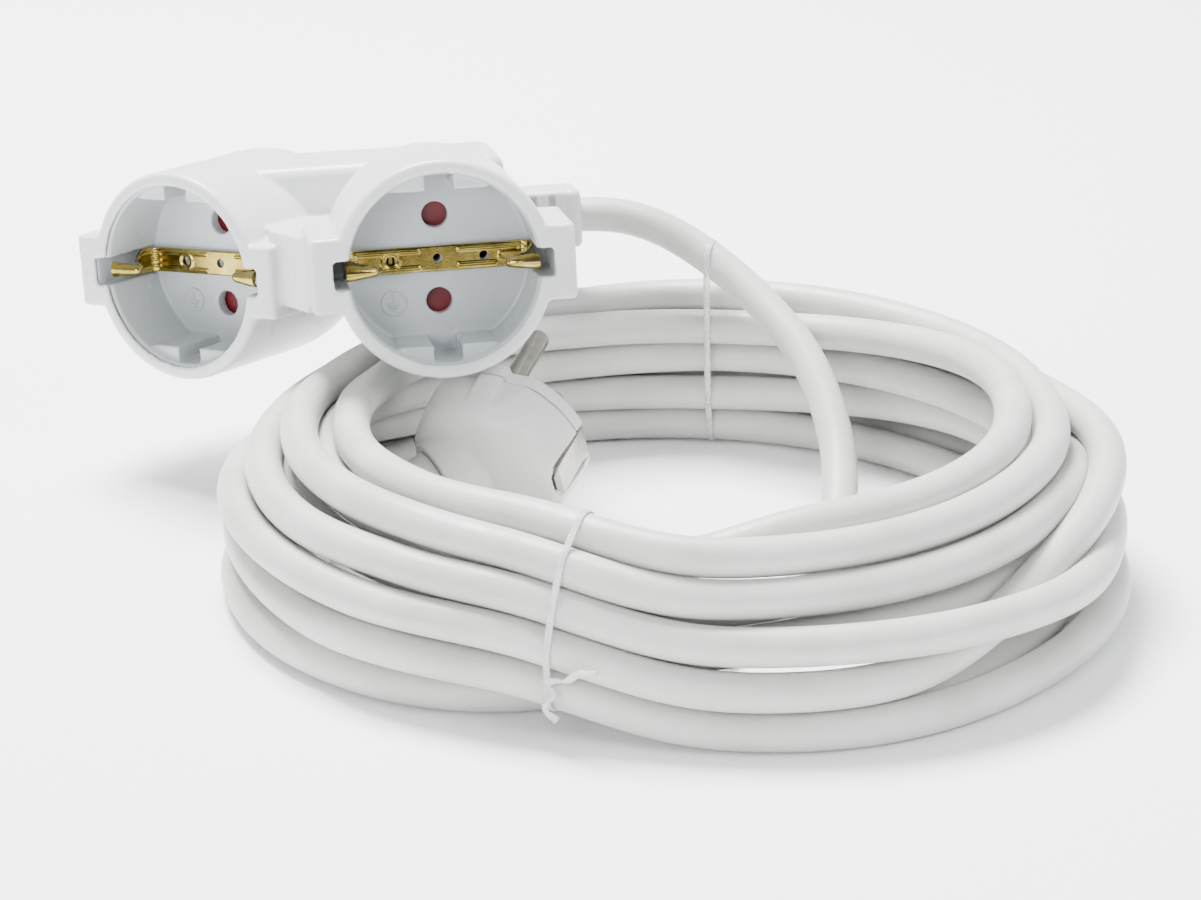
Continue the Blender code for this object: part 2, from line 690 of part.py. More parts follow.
def plug_body():
    """The overmoulded shell, domed at the back and hollow behind the face plate."""
    r = PLUG_RADIUS
    dome = [
        (
            0.985 * r * math.cos(math.radians(angle)),
            1.0 * MM - PLUG_ENTRY - 9.0 * MM * math.sin(math.radians(angle)),
        )
        for angle in (0, 18, 36, 54, 72)
    ]
    top = -PLUG_FACE_THICKNESS - GAP
    profile = [(0, top), (r, top), (r, -(PLUG_ENTRY - 1.6 * MM)), *dome, (0, -(PLUG_ENTRY + 8.0 * MM))]
    body = plug_shape("plug_body", profile, WHITE_PVC)
    end = GRIP_START + GRIP_ALONG * BOSS_LENGTH
    join(body, rod("plug_boss", PLUG, GRIP_START - GRIP_ALONG * 5 * MM, end, 9.4 * MM, end_radius=9.0 * MM))
    cut(
        body,
        rod("plug_hollow", PLUG, (0, 0, -19 * MM), (0, 0, 0), 13.2 * MM, sides=40),
        rod("plug_grip_seat", PLUG, end, end + GRIP_ALONG * 12 * MM, 7.7 * MM),
        rod(
            "plug_cable_way", PLUG,
            GRIP_START - GRIP_ALONG * 3 * MM, end + GRIP_ALONG * 5 * MM, 3.9 * MM, sides=24,
        ),
        box(
            "plug_yoke_way", PLUG,
            (-18 * MM, -YOKE_HALF_WIDTH - GAP, YOKE_BACK - 0.8 * MM),
            (18 * MM, YOKE_HALF_WIDTH + GAP, YOKE_BACK + 0.8 * MM),
        ),
    )


def plug_face():
    """The hard pin carrier that closes the plug's front, with a skirt that locates it."""
    r = PLUG_RADIUS - 0.2 * MM
    face = plug_shape(
        "plug_pin_carrier",
        [(0, 0), (r - 0.5 * MM, 0), (r, -0.5 * MM), (r, -PLUG_FACE_THICKNESS), (0, -PLUG_FACE_THICKNESS)],
        INSERT_WHITE,
    )
    join(face, rod("plug_skirt", PLUG, (0, 0, -9 * MM), (0, 0, -2 * MM), 12.8 * MM, sides=40))
    cut(face, box("skirt_room", PLUG, (-8.5 * MM, -5.5 * MM, -12 * MM), (8.5 * MM, 5.5 * MM, -3.0 * MM)))
    for row, name in ((-1, "upper"), (1, "lower")):
        at = row * PIN_PITCH / 2
        cut(face, rod(
            f"{name}_pin_bore", PLUG, (0, at, -12 * MM), (0, at, MM), PIN_DIAMETER / 2 + GAP, sides=28,
        ))


def plug_pins():
    """Two solid pins with rounded tips, and a thinner tail that its core is crimped to."""
    r = PIN_DIAMETER / 2
    tip = [
        (
            r * math.sin(math.radians(angle)),
            PIN_LENGTH - 0.7 * r * (1 - math.cos(math.radians(angle))),
        )
        for angle in (30, 60, 90)
    ]
    tail = [(r, -9.6 * MM), (1.5 * MM, -9.6 * MM), (1.5 * MM, PIN_TAIL), (0, PIN_TAIL)]
    for row, name in ((-1, "plug_upper_pin"), (1, "plug_lower_pin")):
        empty = frame(f"{name}_frame", PLUG, Matrix.Translation((0, row * PIN_PITCH / 2, 0)))
        turned(name, empty, [(0, PIN_LENGTH), *tip, *tail], NICKEL, steps=28)


def plug_earth_yoke():
    """One sheet-metal yoke: a contact strip in each side seat, and the bridge that joins them."""
    seat = CONTACT_SEAT + GAP + 0.4 * MM
    half = [
        (2.4 * MM, YOKE_BACK), (seat - 0.6 * MM, YOKE_BACK), (seat, YOKE_BACK + 0.8 * MM),
        (seat, -0.7 * MM),
    ]
    widths = [YOKE_HALF_WIDTH, YOKE_HALF_WIDTH, 3.9 * MM, 3.9 * MM]
    yoke = ribbon(
        "plug_earth_yoke", PLUG, mirrored(half), [*reversed(widths), *widths], 0.8 * MM, NICKEL,
    )
    level = YOKE_BACK - 1.8 * MM
    join(yoke, rod("yoke_crimp", PLUG, (0.2 * MM, 0, level), (4.6 * MM, 0, level), 1.6 * MM, sides=20))


def plug_cores():
    """The three cores inside the plug, from the stripped cord end to the pins and the earth yoke."""
    finishes = {
        "line": (CORE_BROWN, 150, Vector((0.0, -PIN_PITCH / 2, PIN_TAIL - 1.4 * MM))),
        "neutral": (CORE_BLUE, 30, Vector((0.0, PIN_PITCH / 2, PIN_TAIL - 1.4 * MM))),
        "earth": (CORE_EARTH, 270, Vector((-0.9 * MM, 0.0, YOKE_BACK - 2.2 * MM))),
    }
    normal = Vector((-GRIP_ALONG.z, 0.0, GRIP_ALONG.x))
    for name, (finish, angle, end) in finishes.items():
        turn = math.radians(angle)
        across = (Vector((0, math.cos(turn), 0)) + normal * math.sin(turn)) * 1.6 * MM
        points = [
            GRIP_START + GRIP_ALONG * (BOSS_LENGTH + GRIP_LENGTH - 1.0 * MM) + across,
            GRIP_START + GRIP_ALONG * 8 * MM + across,
            GRIP_START + across,
            GRIP_START.lerp(end, 0.5) + across + Vector((0, 0, -0.8)) * MM,
            end,
        ]
        tube(
            f"plug_{name}_core", PLUG, smooth_curve(points, 3.0 * MM), PLUG_CORE_RADIUS, finish,
            bevel_resolution=2,
        )


def plug_cord_grip():
    """The tapered, ribbed sleeve that keeps the cord from kinking where it leaves the plug."""
    start = GRIP_START + GRIP_ALONG * (BOSS_LENGTH + GAP)
    end = GRIP_START + GRIP_ALONG * (BOSS_LENGTH + GRIP_LENGTH)
    grip = rod("plug_cord_grip", PLUG, start, end, 7.2 * MM, WHITE_PVC, end_radius=5.0 * MM, sides=32)
    rings = []
    for index in range(4):
        at = start + GRIP_ALONG * (4.4 + 3.8 * index) * MM
        ring = rod(f"grip_groove_{index}", PLUG, at, at + GRIP_ALONG * 1.8 * MM, 9 * MM, sides=32)
        neck = (5.3 - 0.35 * index) * MM
        rings.append(cut(ring, rod(
            f"grip_core_{index}", PLUG, at - GRIP_ALONG * MM, at + GRIP_ALONG * 3 * MM, neck,
        )))
    bore = rod(
        "plug_grip_bore", PLUG, start - GRIP_ALONG * MM, end + GRIP_ALONG * MM, 3.7 * MM, sides=24,
    )
    cut(grip, *rings, bore)


# ---- cord ---------------------------------------------------------------------------------------
def coil_ring():
    """The coiled length, as one turned ring with rounded corners and a seat for each tie below."""
    corners = [
        (COIL_OUTER_RADIUS - COIL_CORNER, COIL_HEIGHT - COIL_CORNER, 90),
        (COIL_OUTER_RADIUS - COIL_CORNER, COIL_CORNER, 0),
        (COIL_INNER_RADIUS + COIL_CORNER, COIL_CORNER, -90),
        (COIL_INNER_RADIUS + COIL_CORNER, COIL_HEIGHT - COIL_CORNER, -180),
    ]
    profile = []
    for r, z, start in corners:
        for step in range(4):
            angle = math.radians(start - 30 * step)
            profile.append((r + COIL_CORNER * math.cos(angle), z + COIL_CORNER * math.sin(angle)))
    ring = turned("cord_coil", ROOT, profile, CORD_WHITE, steps=72)
    for name, empty in TIES.items():
        cut(ring, box(
            f"{name}_seat", empty,
            (COIL_INNER_RADIUS - MM, -1.4 * MM, -MM), (COIL_OUTER_RADIUS + MM, 1.4 * MM, 1.3 * MM),
        ))


def twist_tie(name):
    """A flat tie round the coil's section, closed by a twisted tail on the outside."""
    clear = GAP + 0.3 * MM
    inner = COIL_INNER_RADIUS - clear
    outer = COIL_OUTER_RADIUS + clear
    top = COIL_HEIGHT + clear
    low = 0.6 * MM
    bend = 5.0 * MM
    path = []
    for r, z, start in ((outer - bend, top - bend, 90), (outer - bend, low + bend, 0),
                        (inner + bend, low + bend, -90), (inner + bend, top - bend, -180)):
        for step in range(4):
            angle = math.radians(start - 30 * step)
            path.append((r + bend * math.cos(angle), z + bend * math.sin(angle)))
    empty = TIES[name]
    tie = ribbon(name, empty, path, [0.8 * MM] * len(path), 0.5 * MM, TIE_CLEAR, closed=True)
    join(tie, rod(
        f"{name}_tail", empty,
        (outer + 0.8 * MM, 0, 12 * MM), (outer + 2 * MM, 9 * MM, 16 * MM), 0.8 * MM, sides=10,
    ))


def cord():
    run = smooth_curve([Vector(p) * MM for p in CORD_RUN], 2 * CORD_DIAMETER)
    run[0] = run[0] + (run[1] - run[0]).normalized() * 2 * GAP
    tube("cord_run", ROOT, run, CORD_DIAMETER / 2, CORD_WHITE)


for side in SOCKETS:
    socket_insert(side)
    earth_clip(side)
    shutter(side)
    shutter_spring(side)
TIES = {
    name: frame(f"{name}_frame", ROOT, Matrix.Rotation(math.radians(angle), 4, "Z"))
    for name, angle in TIE_ANGLES.items()
}
coupling_body()
busbar("line_busbar", 1, LINE_HEIGHT)
busbar("neutral_busbar", -1, NEUTRAL_HEIGHT)
earth_link()
coupling_cores()
coupling_cord_grip()
plug_body()
plug_face()
plug_pins()
plug_earth_yoke()
plug_cores()
plug_cord_grip()
coil_ring()
for tie_name in TIES:
    twist_tie(tie_name)
cord()
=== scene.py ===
"""The looks of a two-way earthed extension lead, coiled and tied. Units are metres, +Z is up.

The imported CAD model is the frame. Its shutters, springs, cores, busbars, earth link, and the plug's yoke
and bend relief stay. The visible shells, strips, pins, ties and the cord are built here, in the places
that the CAD gives them.
"""

import math

import bmesh
import bpy
import numpy as np
from mathutils import Matrix, Vector


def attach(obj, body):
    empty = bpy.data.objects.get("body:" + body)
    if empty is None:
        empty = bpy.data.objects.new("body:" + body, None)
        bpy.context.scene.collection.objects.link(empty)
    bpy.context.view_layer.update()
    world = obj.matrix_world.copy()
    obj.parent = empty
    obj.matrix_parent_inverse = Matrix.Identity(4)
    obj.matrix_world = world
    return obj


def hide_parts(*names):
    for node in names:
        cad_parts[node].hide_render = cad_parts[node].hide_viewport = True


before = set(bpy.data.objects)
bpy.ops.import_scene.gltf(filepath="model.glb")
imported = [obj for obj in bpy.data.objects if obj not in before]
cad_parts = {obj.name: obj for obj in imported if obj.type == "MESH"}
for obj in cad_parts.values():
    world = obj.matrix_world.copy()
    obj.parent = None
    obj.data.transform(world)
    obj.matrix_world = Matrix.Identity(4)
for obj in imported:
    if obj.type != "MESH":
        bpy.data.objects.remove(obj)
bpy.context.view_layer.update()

MM = 0.001

# ---- driving dimensions, as in the CAD ----------------------------------------------------------
CORD_DIAMETER = 8.0 * MM
COIL_CENTRE = Vector((19.25, -0.75, 0.0)) * MM
COUPLING_AT = Vector((-50.2, 10.8, 64.6)) * MM
COUPLING_BACK = Vector((-0.142, 0.978, -0.157))
COUPLING_UP = Vector((-0.047, 0.152, 0.988))
LEFT_SOCKET_AT = Vector((-56.7, 48.7, -5.4)) * MM
LEFT_SOCKET_BACK = Vector((0.675, 0.735, 0.03))
PLUG_AT = Vector((-36.0, 24.8, 24.4)) * MM
PLUG_FACING = Vector((0.400, 0.809, 0.435))
PLUG_UP = Vector((-0.172, -0.398, 0.902))

# The uncoiled stretch, from the cable exit to the floor inside the coil, in mm from the coil's centre.
CORD_RUN = [
    (-22.0, 80.9, 55.1),
    (-14.1, 82.0, 55.2),
    (-4.5, 81.0, 52.9),
    (2.7, 78.5, 49.6),
    (9.9, 75.0, 45.4),
    (16.4, 70.0, 41.3),
    (22.4, 63.5, 36.8),
    (27.3, 57.5, 33.0),
    (31.0, 51.0, 28.4),
    (33.7, 44.5, 23.7),
    (35.5, 37.5, 18.7),
    (36.5, 29.5, 13.5),
    (36.1, 21.0, 8.6),
    (34.6, 10.5, 5.2),
    (31.4, -4.0, 4.3),
    (25.4, -21.0, 4.2),
    (16.0, -38.0, 4.2),
    (3.0, -53.5, 4.2),
    (-10.5, -64.5, 4.2),
    (-16.5, -68.3, 4.2),
]
# The last stretch, from where the cord leaves the coil's inner side to the plug's cord grip.
CORD_TO_PLUG = [
    (-84.2, -24.0, 4.2),
    (-84.9, -16.5, 4.2),
    (-83.3, -9.3, 4.3),
    (-79.8, -3.2, 5.2),
    (-75.2, 1.0, 6.7),
    (-69.8, 4.0, 8.6),
]


# ---- placing ------------------------------------------------------------------------------------
def basis(at, x_axis, z_axis):
    """A placing matrix with +Z along z_axis and +X as near x_axis as a right angle allows."""
    z = z_axis.normalized()
    y = z.cross(x_axis).normalized()
    x = y.cross(z)
    rows = [(x[i], y[i], z[i], at[i]) for i in range(3)]
    return Matrix((*rows, (0, 0, 0, 1)))


ROOT = Matrix.Translation(COIL_CENTRE)
COUPLING = ROOT @ basis(COUPLING_AT, COUPLING_BACK.cross(COUPLING_UP), COUPLING_UP)
SOCKETS = {
    "right": COUPLING @ basis(Vector((0, 0, 0)), Vector((1, 0, 0)), Vector((0, 1, 0))),
    "left": COUPLING @ basis(LEFT_SOCKET_AT, LEFT_SOCKET_BACK.cross(Vector((0, 0, 1))), LEFT_SOCKET_BACK),
}
PLUG = ROOT @ basis(PLUG_AT, PLUG_FACING.cross(PLUG_UP), PLUG_FACING)


# ---- camera -------------------------------------------------------------------------------------
CAMERA_TILT = 21


def make_camera():
    camera = bpy.data.cameras.new("camera")
    camera.sensor_width = 36.0
    camera.lens = 110.9
    seat = bpy.data.objects.new("camera", camera)
    seat.location = COIL_CENTRE + Vector((-17, -741, 312)) * MM
    seat.rotation_euler = (math.radians(90 - CAMERA_TILT), 0, 0)
    bpy.context.scene.collection.objects.link(seat)
    bpy.context.scene.camera = seat


make_camera()


# ---- the cord's route ---------------------------------------------------------------------------
STATIONS = 72
TURNS = 9
START_ANGLE = -140.0
FLOOR = 4.1
LAYER = 8.2
SETTLING_STEPS = 700
LOOSE_STEPS = 500

# Room for the turns, in mm: a ceiling under the coupling's bar and under its left barrel, and a wall
# beside that barrel for every turn above the lowest two.
UNDER_BAR = 33.0
UNDER_BARREL = 35.6
OPEN_ABOVE = 60.0
BESIDE_BARREL = 93.6
OPEN_BESIDE = 120.0
LOW_TURNS_TOP = 16.0

# The bundle's cross-section, as places for the cord: six up the outer slope and three inside it.
# Each has its distance from the coil's axis, in mm, at the angles below, and its height on the sides
# and at the back. The front tie at -105 degrees pulls the bundle in.
PLACE_ANGLES = (-180, -140, -104, -65, 0, 90, 140, 180)
PLACES = {
    "outer_1": ((94.0, 94.0, 85.0, 97.5, 91.0, 90.0, 92.0, 94.0), 4.1, 4.1),
    "outer_2": ((94.5, 94.0, 85.0, 96.0, 91.5, 90.0, 91.0, 94.5), 12.3, 12.3),
    "outer_3": ((95.0, 92.5, 85.0, 91.8, 89.0, 90.0, 90.0, 95.0), 20.7, 20.5),
    "outer_4": ((88.8, 87.5, 83.5, 86.3, 84.5, 88.5, 86.0, 88.8), 28.3, 28.5),
    "outer_5": ((80.6, 80.5, 79.5, 79.5, 78.5, 85.5, 82.0, 80.6), 34.4, 35.2),
    "outer_6": ((71.5, 73.0, 72.5, 72.3, 71.5, 78.5, 74.0, 71.5), 38.4, 29.5),
    "inner_3": ((76.5, 77.0, 75.5, 78.0, 76.5, 79.0, 77.0, 76.5), 26.0, 20.9),
    "inner_2": ((82.0, 81.0, 76.5, 84.0, 80.5, 79.5, 80.5, 82.0), 18.0, 12.4),
    "inner_1": ((86.0, 84.0, 76.5, 87.5, 82.0, 80.0, 82.0, 86.0), 4.1, 4.1),
}


def ramp(value, start, end):
    """0 before start, 1 after end, and a smooth step between."""
    t = np.clip((value - start) / (end - start), 0.0, 1.0)
    return t * t * (3 - 2 * t)


def place_in_bundle(name, angle):
    """(radius, height) pairs of one of the bundle's places at each angle, smoothed over 25 degrees."""
    radii, side_height, back_height = PLACES[name]
    degrees = np.arange(-180, 181)
    wrapped = (angle + 180) % 360 - 180
    exact = np.interp(degrees, PLACE_ANGLES, radii)
    soft = np.convolve(np.concatenate([exact[-13:-1], exact, exact[1:13]]), np.ones(25) / 25, "valid")
    radius = np.interp(wrapped, degrees, soft)
    at_back = 0.5 - 0.5 * np.cos(np.radians(np.clip(wrapped, 0, 180) * 2))
    return np.stack([radius, side_height + (back_height - side_height) * at_back], axis=-1)


def turn_targets():
    """Where each turn would lie, as (radius, height) at every station, and which stations exist.

    Row 0 is the tail of the free run, rows 1 to 9 are whole turns and row 10 is the way out to the
    plug. The cord climbs the outer slope, crosses itself once at the front right, goes over the top
    and comes down inside. The free run passes under the front of the bundle, which lifts over it.
    """
    share = np.arange(STATIONS) / STATIONS
    angle = START_ANGLE - 360 * share
    at = {name: place_in_bundle(name, angle) for name in PLACES}
    under = ramp(share, 0.52, 0.67)[:, None]
    over = ramp(share, 0.63, 0.80)[:, None]
    climb = ramp(share, 0.85, 0.94)[:, None]
    early = (1 - ramp(share, 0.12, 0.24))[:, None]
    late = ramp(share, 0.80, 0.90)[:, None]
    bulge = np.sin(np.pi * np.clip((share - 0.52) / 0.25, 0, 1)) ** 2

    def blended(first, second, amount):
        return at[first] * (1 - amount) + at[second] * amount

    def then(base, last):
        return base * (1 - climb) + at[last] * climb

    lift = {name: np.stack([0 * share, height * np.ones(STATIONS)], axis=-1)
            for name, height in (("inner_1", 8.2), ("inner_2", 7.0), ("inner_3", 5.0))}
    path = np.zeros((TURNS + 2, STATIONS, 2))
    tail = np.clip((share - 0.899) / 0.117, 0, 1)
    path[0] = np.stack([93.0 - 22.7 * (1 - tail) ** 2, FLOOR + 0 * share], axis=-1)
    path[1] = then(at["outer_1"], "outer_2")
    path[2] = then(blended("outer_2", "outer_3", under), "outer_4")
    path[3] = then(blended("outer_4", "outer_2", over), "outer_3")
    path[4] = then(blended("outer_3", "outer_4", under), "outer_5")
    path[5] = then(at["outer_5"], "outer_6")
    path[6] = at["outer_6"] * (1 - late) + (at["inner_3"] + lift["inner_3"]) * late
    path[7] = at["inner_3"] + lift["inner_3"] * early
    path[7] = path[7] * (1 - late) + (at["inner_2"] + lift["inner_2"]) * late
    path[8] = at["inner_2"] + lift["inner_2"] * early
    path[8] = path[8] * (1 - late) + (at["inner_1"] + lift["inner_1"]) * late
    path[9] = at["inner_1"] + lift["inner_1"] * np.maximum(early, late)
    path[9, :, 1] -= LAYER * 0.45 * ramp(share, 0.955, 1.0)
    path[10] = at["inner_1"]
    path[10, :, 0] += 3.0 * ramp(share, -0.01, 0.045)
    path[10, :, 1] = FLOOR + LAYER * 0.55 * (1 - ramp(share, 0.0, 0.03))
    path[3, :, 0] += 6.5 * bulge
    wave = np.radians(angle)
    # Each turn strays a little from its place, and the two on top stray less.
    for row in range(1, TURNS + 1):
        loose = 0.4 if row in (5, 6) else 1.0
        path[row, :, 0] += loose * (0.9 * np.sin(2 * wave + 1.7 * row) + 0.6 * np.sin(5 * wave + 2.9 * row))
        path[row, :, 1] += loose * 0.5 * np.sin(3 * wave + 2.3 * row)
    exists = np.ones((TURNS + 2, STATIONS), bool)
    exists[0] = share > 0.9
    exists[10] = share < 0.052
    return angle, path, exists


def laid_turns():
    """The turns pushed apart until no two share the same space, kept smooth along the cord."""
    angle, target, exists = turn_targets()
    place = target.copy()
    rows = place.shape[0]
    order = exists.reshape(-1)
    round_angle = angle % 360
    under_bar = (round_angle > 103) & (round_angle < 162)
    under_barrel = (round_angle >= 162) & (round_angle < 200)
    ceiling = np.where(under_bar, UNDER_BAR, np.where(under_barrel, UNDER_BARREL, OPEN_ABOVE))
    beside_barrel = (round_angle > 112) & (round_angle < 168)
    spacing = CORD_DIAMETER / MM + 0.05
    for step in range(SETTLING_STEPS):
        push = np.zeros_like(place)
        for a in range(rows):
            for b in range(a + 1, rows):
                both = exists[a] & exists[b]
                apart = place[b] - place[a]
                size = np.maximum(np.linalg.norm(apart, axis=-1), 1e-6)
                short = np.where(both & (size < spacing), (spacing - size) / 2, 0.0)
                move = apart / size[:, None] * short[:, None]
                push[a] -= move
                push[b] += move
        push[0] *= 0.1
        place += push * 0.8
        moved = (place - target).reshape(-1, 2)[order]
        soft = 0.5 * moved[1:-1] + 0.25 * (moved[:-2] + moved[2:])
        loosening = step < LOOSE_STEPS
        moved[1:-1] += (0.45 if loosening else 0.08) * (soft - moved[1:-1])
        flat = place.reshape(-1, 2)
        flat[order] = target.reshape(-1, 2)[order] + moved * (0.995 if loosening else 1.0)
        place = flat.reshape(place.shape)
        place[..., 1] = np.clip(place[..., 1], FLOOR, ceiling)
        blocked = beside_barrel & (place[..., 1] > LOW_TURNS_TOP)
        place[..., 0] = np.minimum(place[..., 0], np.where(blocked, BESIDE_BARREL, OPEN_BESIDE))
    around = np.radians(np.broadcast_to(angle, exists.shape))
    x = place[..., 0] * np.cos(around)
    y = place[..., 0] * np.sin(around)
    return [Vector(p) for p in np.stack([x, y, place[..., 1]], axis=-1)[exists]]


def smooth_curve(points, spacing):
    """Points an even distance apart on a smooth curve through the given ones."""
    points = [Vector(p) for p in points]
    ends = [2 * points[0] - points[1], *points, 2 * points[-1] - points[-2]]
    fine = []
    for a, b, c, d in zip(ends, ends[1:], ends[2:], ends[3:]):
        for step in range(12):
            t = step / 12
            fine.append(
                (2 * b + (c - a) * t + (2 * a - 5 * b + 4 * c - d) * t**2
                 + (3 * b - a - 3 * c + d) * t**3) / 2
            )
    fine.append(points[-1])
    line = np.array(fine)
    along = np.concatenate([[0], np.cumsum(np.linalg.norm(np.diff(line, axis=0), axis=1))])
    even = np.linspace(0, along[-1], max(2, round(along[-1] / spacing)) + 1)
    return np.stack([np.interp(even, along, line[:, i]) for i in range(3)], axis=1)


def relaxed(line, rounds):
    """The line with small kinks ironed out, its two ends held."""
    for _ in range(rounds):
        line[2:-2] += 0.25 * (line[1:-3] + line[3:-1] - 2 * line[2:-2])
    return line


def cord_route():
    """The whole cord, from the coupling's exit to the plug's cord grip, in metres."""
    turns = laid_turns()
    into_grip = Vector(CORD_RUN[0]) - Vector(CORD_RUN[1])
    start = Vector(CORD_RUN[0]) + into_grip.normalized() * 3.0
    along_plug = (PLUG.to_3x3() @ Vector((0.574, 0.0, 0.819))).normalized()
    end = Vector(CORD_TO_PLUG[-1]) + along_plug * 3.0
    points = [start, *[Vector(p) for p in CORD_RUN], *turns, *[Vector(p) for p in CORD_TO_PLUG], end]
    line = relaxed(smooth_curve(points, 3.4), 5)
    return line * MM + np.array(COIL_CENTRE)


ROUTE = cord_route()


# ---- materials ----------------------------------------------------------------------------------
class Surface:
    """A procedural material: a Principled shader whose colour, roughness and bump come from noise."""

    def __init__(self, name, metallic=0.0):
        self.material = bpy.data.materials.new(name)
        self.material.use_nodes = True
        self.tree = self.material.node_tree
        self.shader = self.tree.nodes["Principled BSDF"]
        self.shader.inputs["Metallic"].default_value = metallic
        self.place = self.tree.nodes.new("ShaderNodeTexCoord").outputs["Object"]
        self.bump = None

    def set(self, **values):
        for name, value in values.items():
            self.shader.inputs[name.replace("_", " ")].default_value = value
        return self

    def stretched(self, scale):
        mapping = self.tree.nodes.new("ShaderNodeMapping")
        mapping.inputs["Scale"].default_value = scale
        self.tree.links.new(self.place, mapping.inputs["Vector"])
        return mapping.outputs["Vector"]

    def noise(self, scale, detail, vector=None):
        noise = self.tree.nodes.new("ShaderNodeTexNoise")
        noise.inputs["Scale"].default_value = scale
        noise.inputs["Detail"].default_value = detail
        noise.inputs["Roughness"].default_value = 0.55
        self.tree.links.new(vector or self.place, noise.inputs["Vector"])
        return noise.outputs["Fac"]

    def ramp(self, value, stops):
        """stops: (position, colour) pairs."""
        ramp = self.tree.nodes.new("ShaderNodeValToRGB")
        elements = ramp.color_ramp.elements
        while len(elements) < len(stops):
            elements.new(0.5)
        for element, (position, colour) in zip(elements, stops):
            element.position = position
            element.color = (*colour, 1.0)
        self.tree.links.new(value, ramp.inputs["Fac"])
        return ramp.outputs["Color"]

    def colour(self, value, stops):
        self.tree.links.new(self.ramp(value, stops), self.shader.inputs["Base Color"])
        return self

    def roughness(self, value, low, high):
        spread = self.tree.nodes.new("ShaderNodeMapRange")
        spread.inputs["From Min"].default_value = 0.3
        spread.inputs["From Max"].default_value = 0.7
        spread.inputs["To Min"].default_value = low
        spread.inputs["To Max"].default_value = high
        self.tree.links.new(value, spread.inputs["Value"])
        self.tree.links.new(spread.outputs["Result"], self.shader.inputs["Roughness"])
        return self

    def raised(self, value, distance, strength=1.0):
        bump = self.tree.nodes.new("ShaderNodeBump")
        bump.inputs["Distance"].default_value = distance
        bump.inputs["Strength"].default_value = strength
        self.tree.links.new(value, bump.inputs["Height"])
        if self.bump:
            self.tree.links.new(self.bump, bump.inputs["Normal"])
        self.bump = bump.outputs["Normal"]
        self.tree.links.new(self.bump, self.shader.inputs["Normal"])
        return self


def shades(colour, spread=0.04, tint=(1.0, 0.995, 0.985)):
    """Three stops round a colour: a little darker and warmer, the colour, a little lighter."""
    low = tuple(c * (1 - spread) * t for c, t in zip(colour, tint))
    high = tuple(min(1.0, c * (1 + spread)) for c in colour)
    return [(0.3, low), (0.5, colour), (0.7, high)]


def moulded(name, colour, rough, grain=0.00002, spread=0.03, subsurface=0.12):
    """Moulded plastic: broad faint clouding, a fine grain and slightly uneven gloss."""
    made = Surface(name).set(IOR=1.5)
    made.colour(made.noise(38, 4), shades(colour, spread))
    made.roughness(made.noise(160, 3), rough * 0.85, rough * 1.15)
    made.raised(made.noise(1500, 2), grain).raised(made.noise(60, 2), grain * 4, 0.4)
    made.set(Subsurface_Weight=subsurface, Subsurface_Radius=(0.9, 0.8, 0.7), Subsurface_Scale=0.0012)
    return made.material


def sheath():
    """The cord's PVC: soft satin with drawn marks, a faint orange peel and a little dust."""
    made = Surface("cord_sheath").set(IOR=1.5)
    made.colour(made.noise(45, 5), [
        (0.25, (0.445, 0.455, 0.425)), (0.5, (0.515, 0.525, 0.50)), (0.75, (0.56, 0.57, 0.545)),
    ])
    made.roughness(made.noise(220, 3), 0.36, 0.52)
    made.raised(made.noise(900, 3), 0.00005).raised(made.noise(130, 2), 0.00022, 0.5)
    made.set(Subsurface_Weight=0.15, Subsurface_Radius=(0.9, 0.85, 0.75), Subsurface_Scale=0.0015)
    return made.material


def rolled(name, colours_with_painted_reflection, rough):
    """Rolled strip or turned metal: fine lines one way, patchy shine, and painted light in the colour: a
    darkened metal colour for dark reflections, with lighter patches as painted highlights.
    """
    made = Surface(name, metallic=1.0)
    lines = made.noise(1.0, 4, made.stretched((2600, 240, 2600)))
    # Painted reflection: the dark stops stand in for dark reflections, and the light stop for highlights.
    made.colour(made.noise(170, 5), [(0.25, colours_with_painted_reflection[0]), (0.5, colours_with_painted_reflection[1]), (0.75, colours_with_painted_reflection[2])])
    made.roughness(made.noise(300, 4), rough * 0.7, rough * 1.35)
    made.raised(lines, 0.00001)
    return made.material


def tie_film():
    """Clear polythene round a thin core: cloudy, shiny and partly see-through."""
    made = Surface("tie_film").set(IOR=1.5, Transmission_Weight=0.55)
    made.colour(made.noise(300, 3), shades((0.90, 0.905, 0.90), 0.03))
    made.roughness(made.noise(500, 2), 0.18, 0.34)
    made.raised(made.noise(1200, 2), 0.00004)
    return made.material


def core_green_yellow():
    """Earth-core insulation: green with a yellow stripe."""
    made = Surface("core_green_yellow").set(IOR=1.5)
    stripe = made.noise(1.0, 0, made.stretched((420, 420, 420)))
    made.colour(stripe, [(0.46, (0.10, 0.36, 0.06)), (0.50, (0.55, 0.58, 0.05)), (0.54, (0.75, 0.66, 0.04))])
    made.roughness(made.noise(300, 2), 0.36, 0.5)
    return made.material


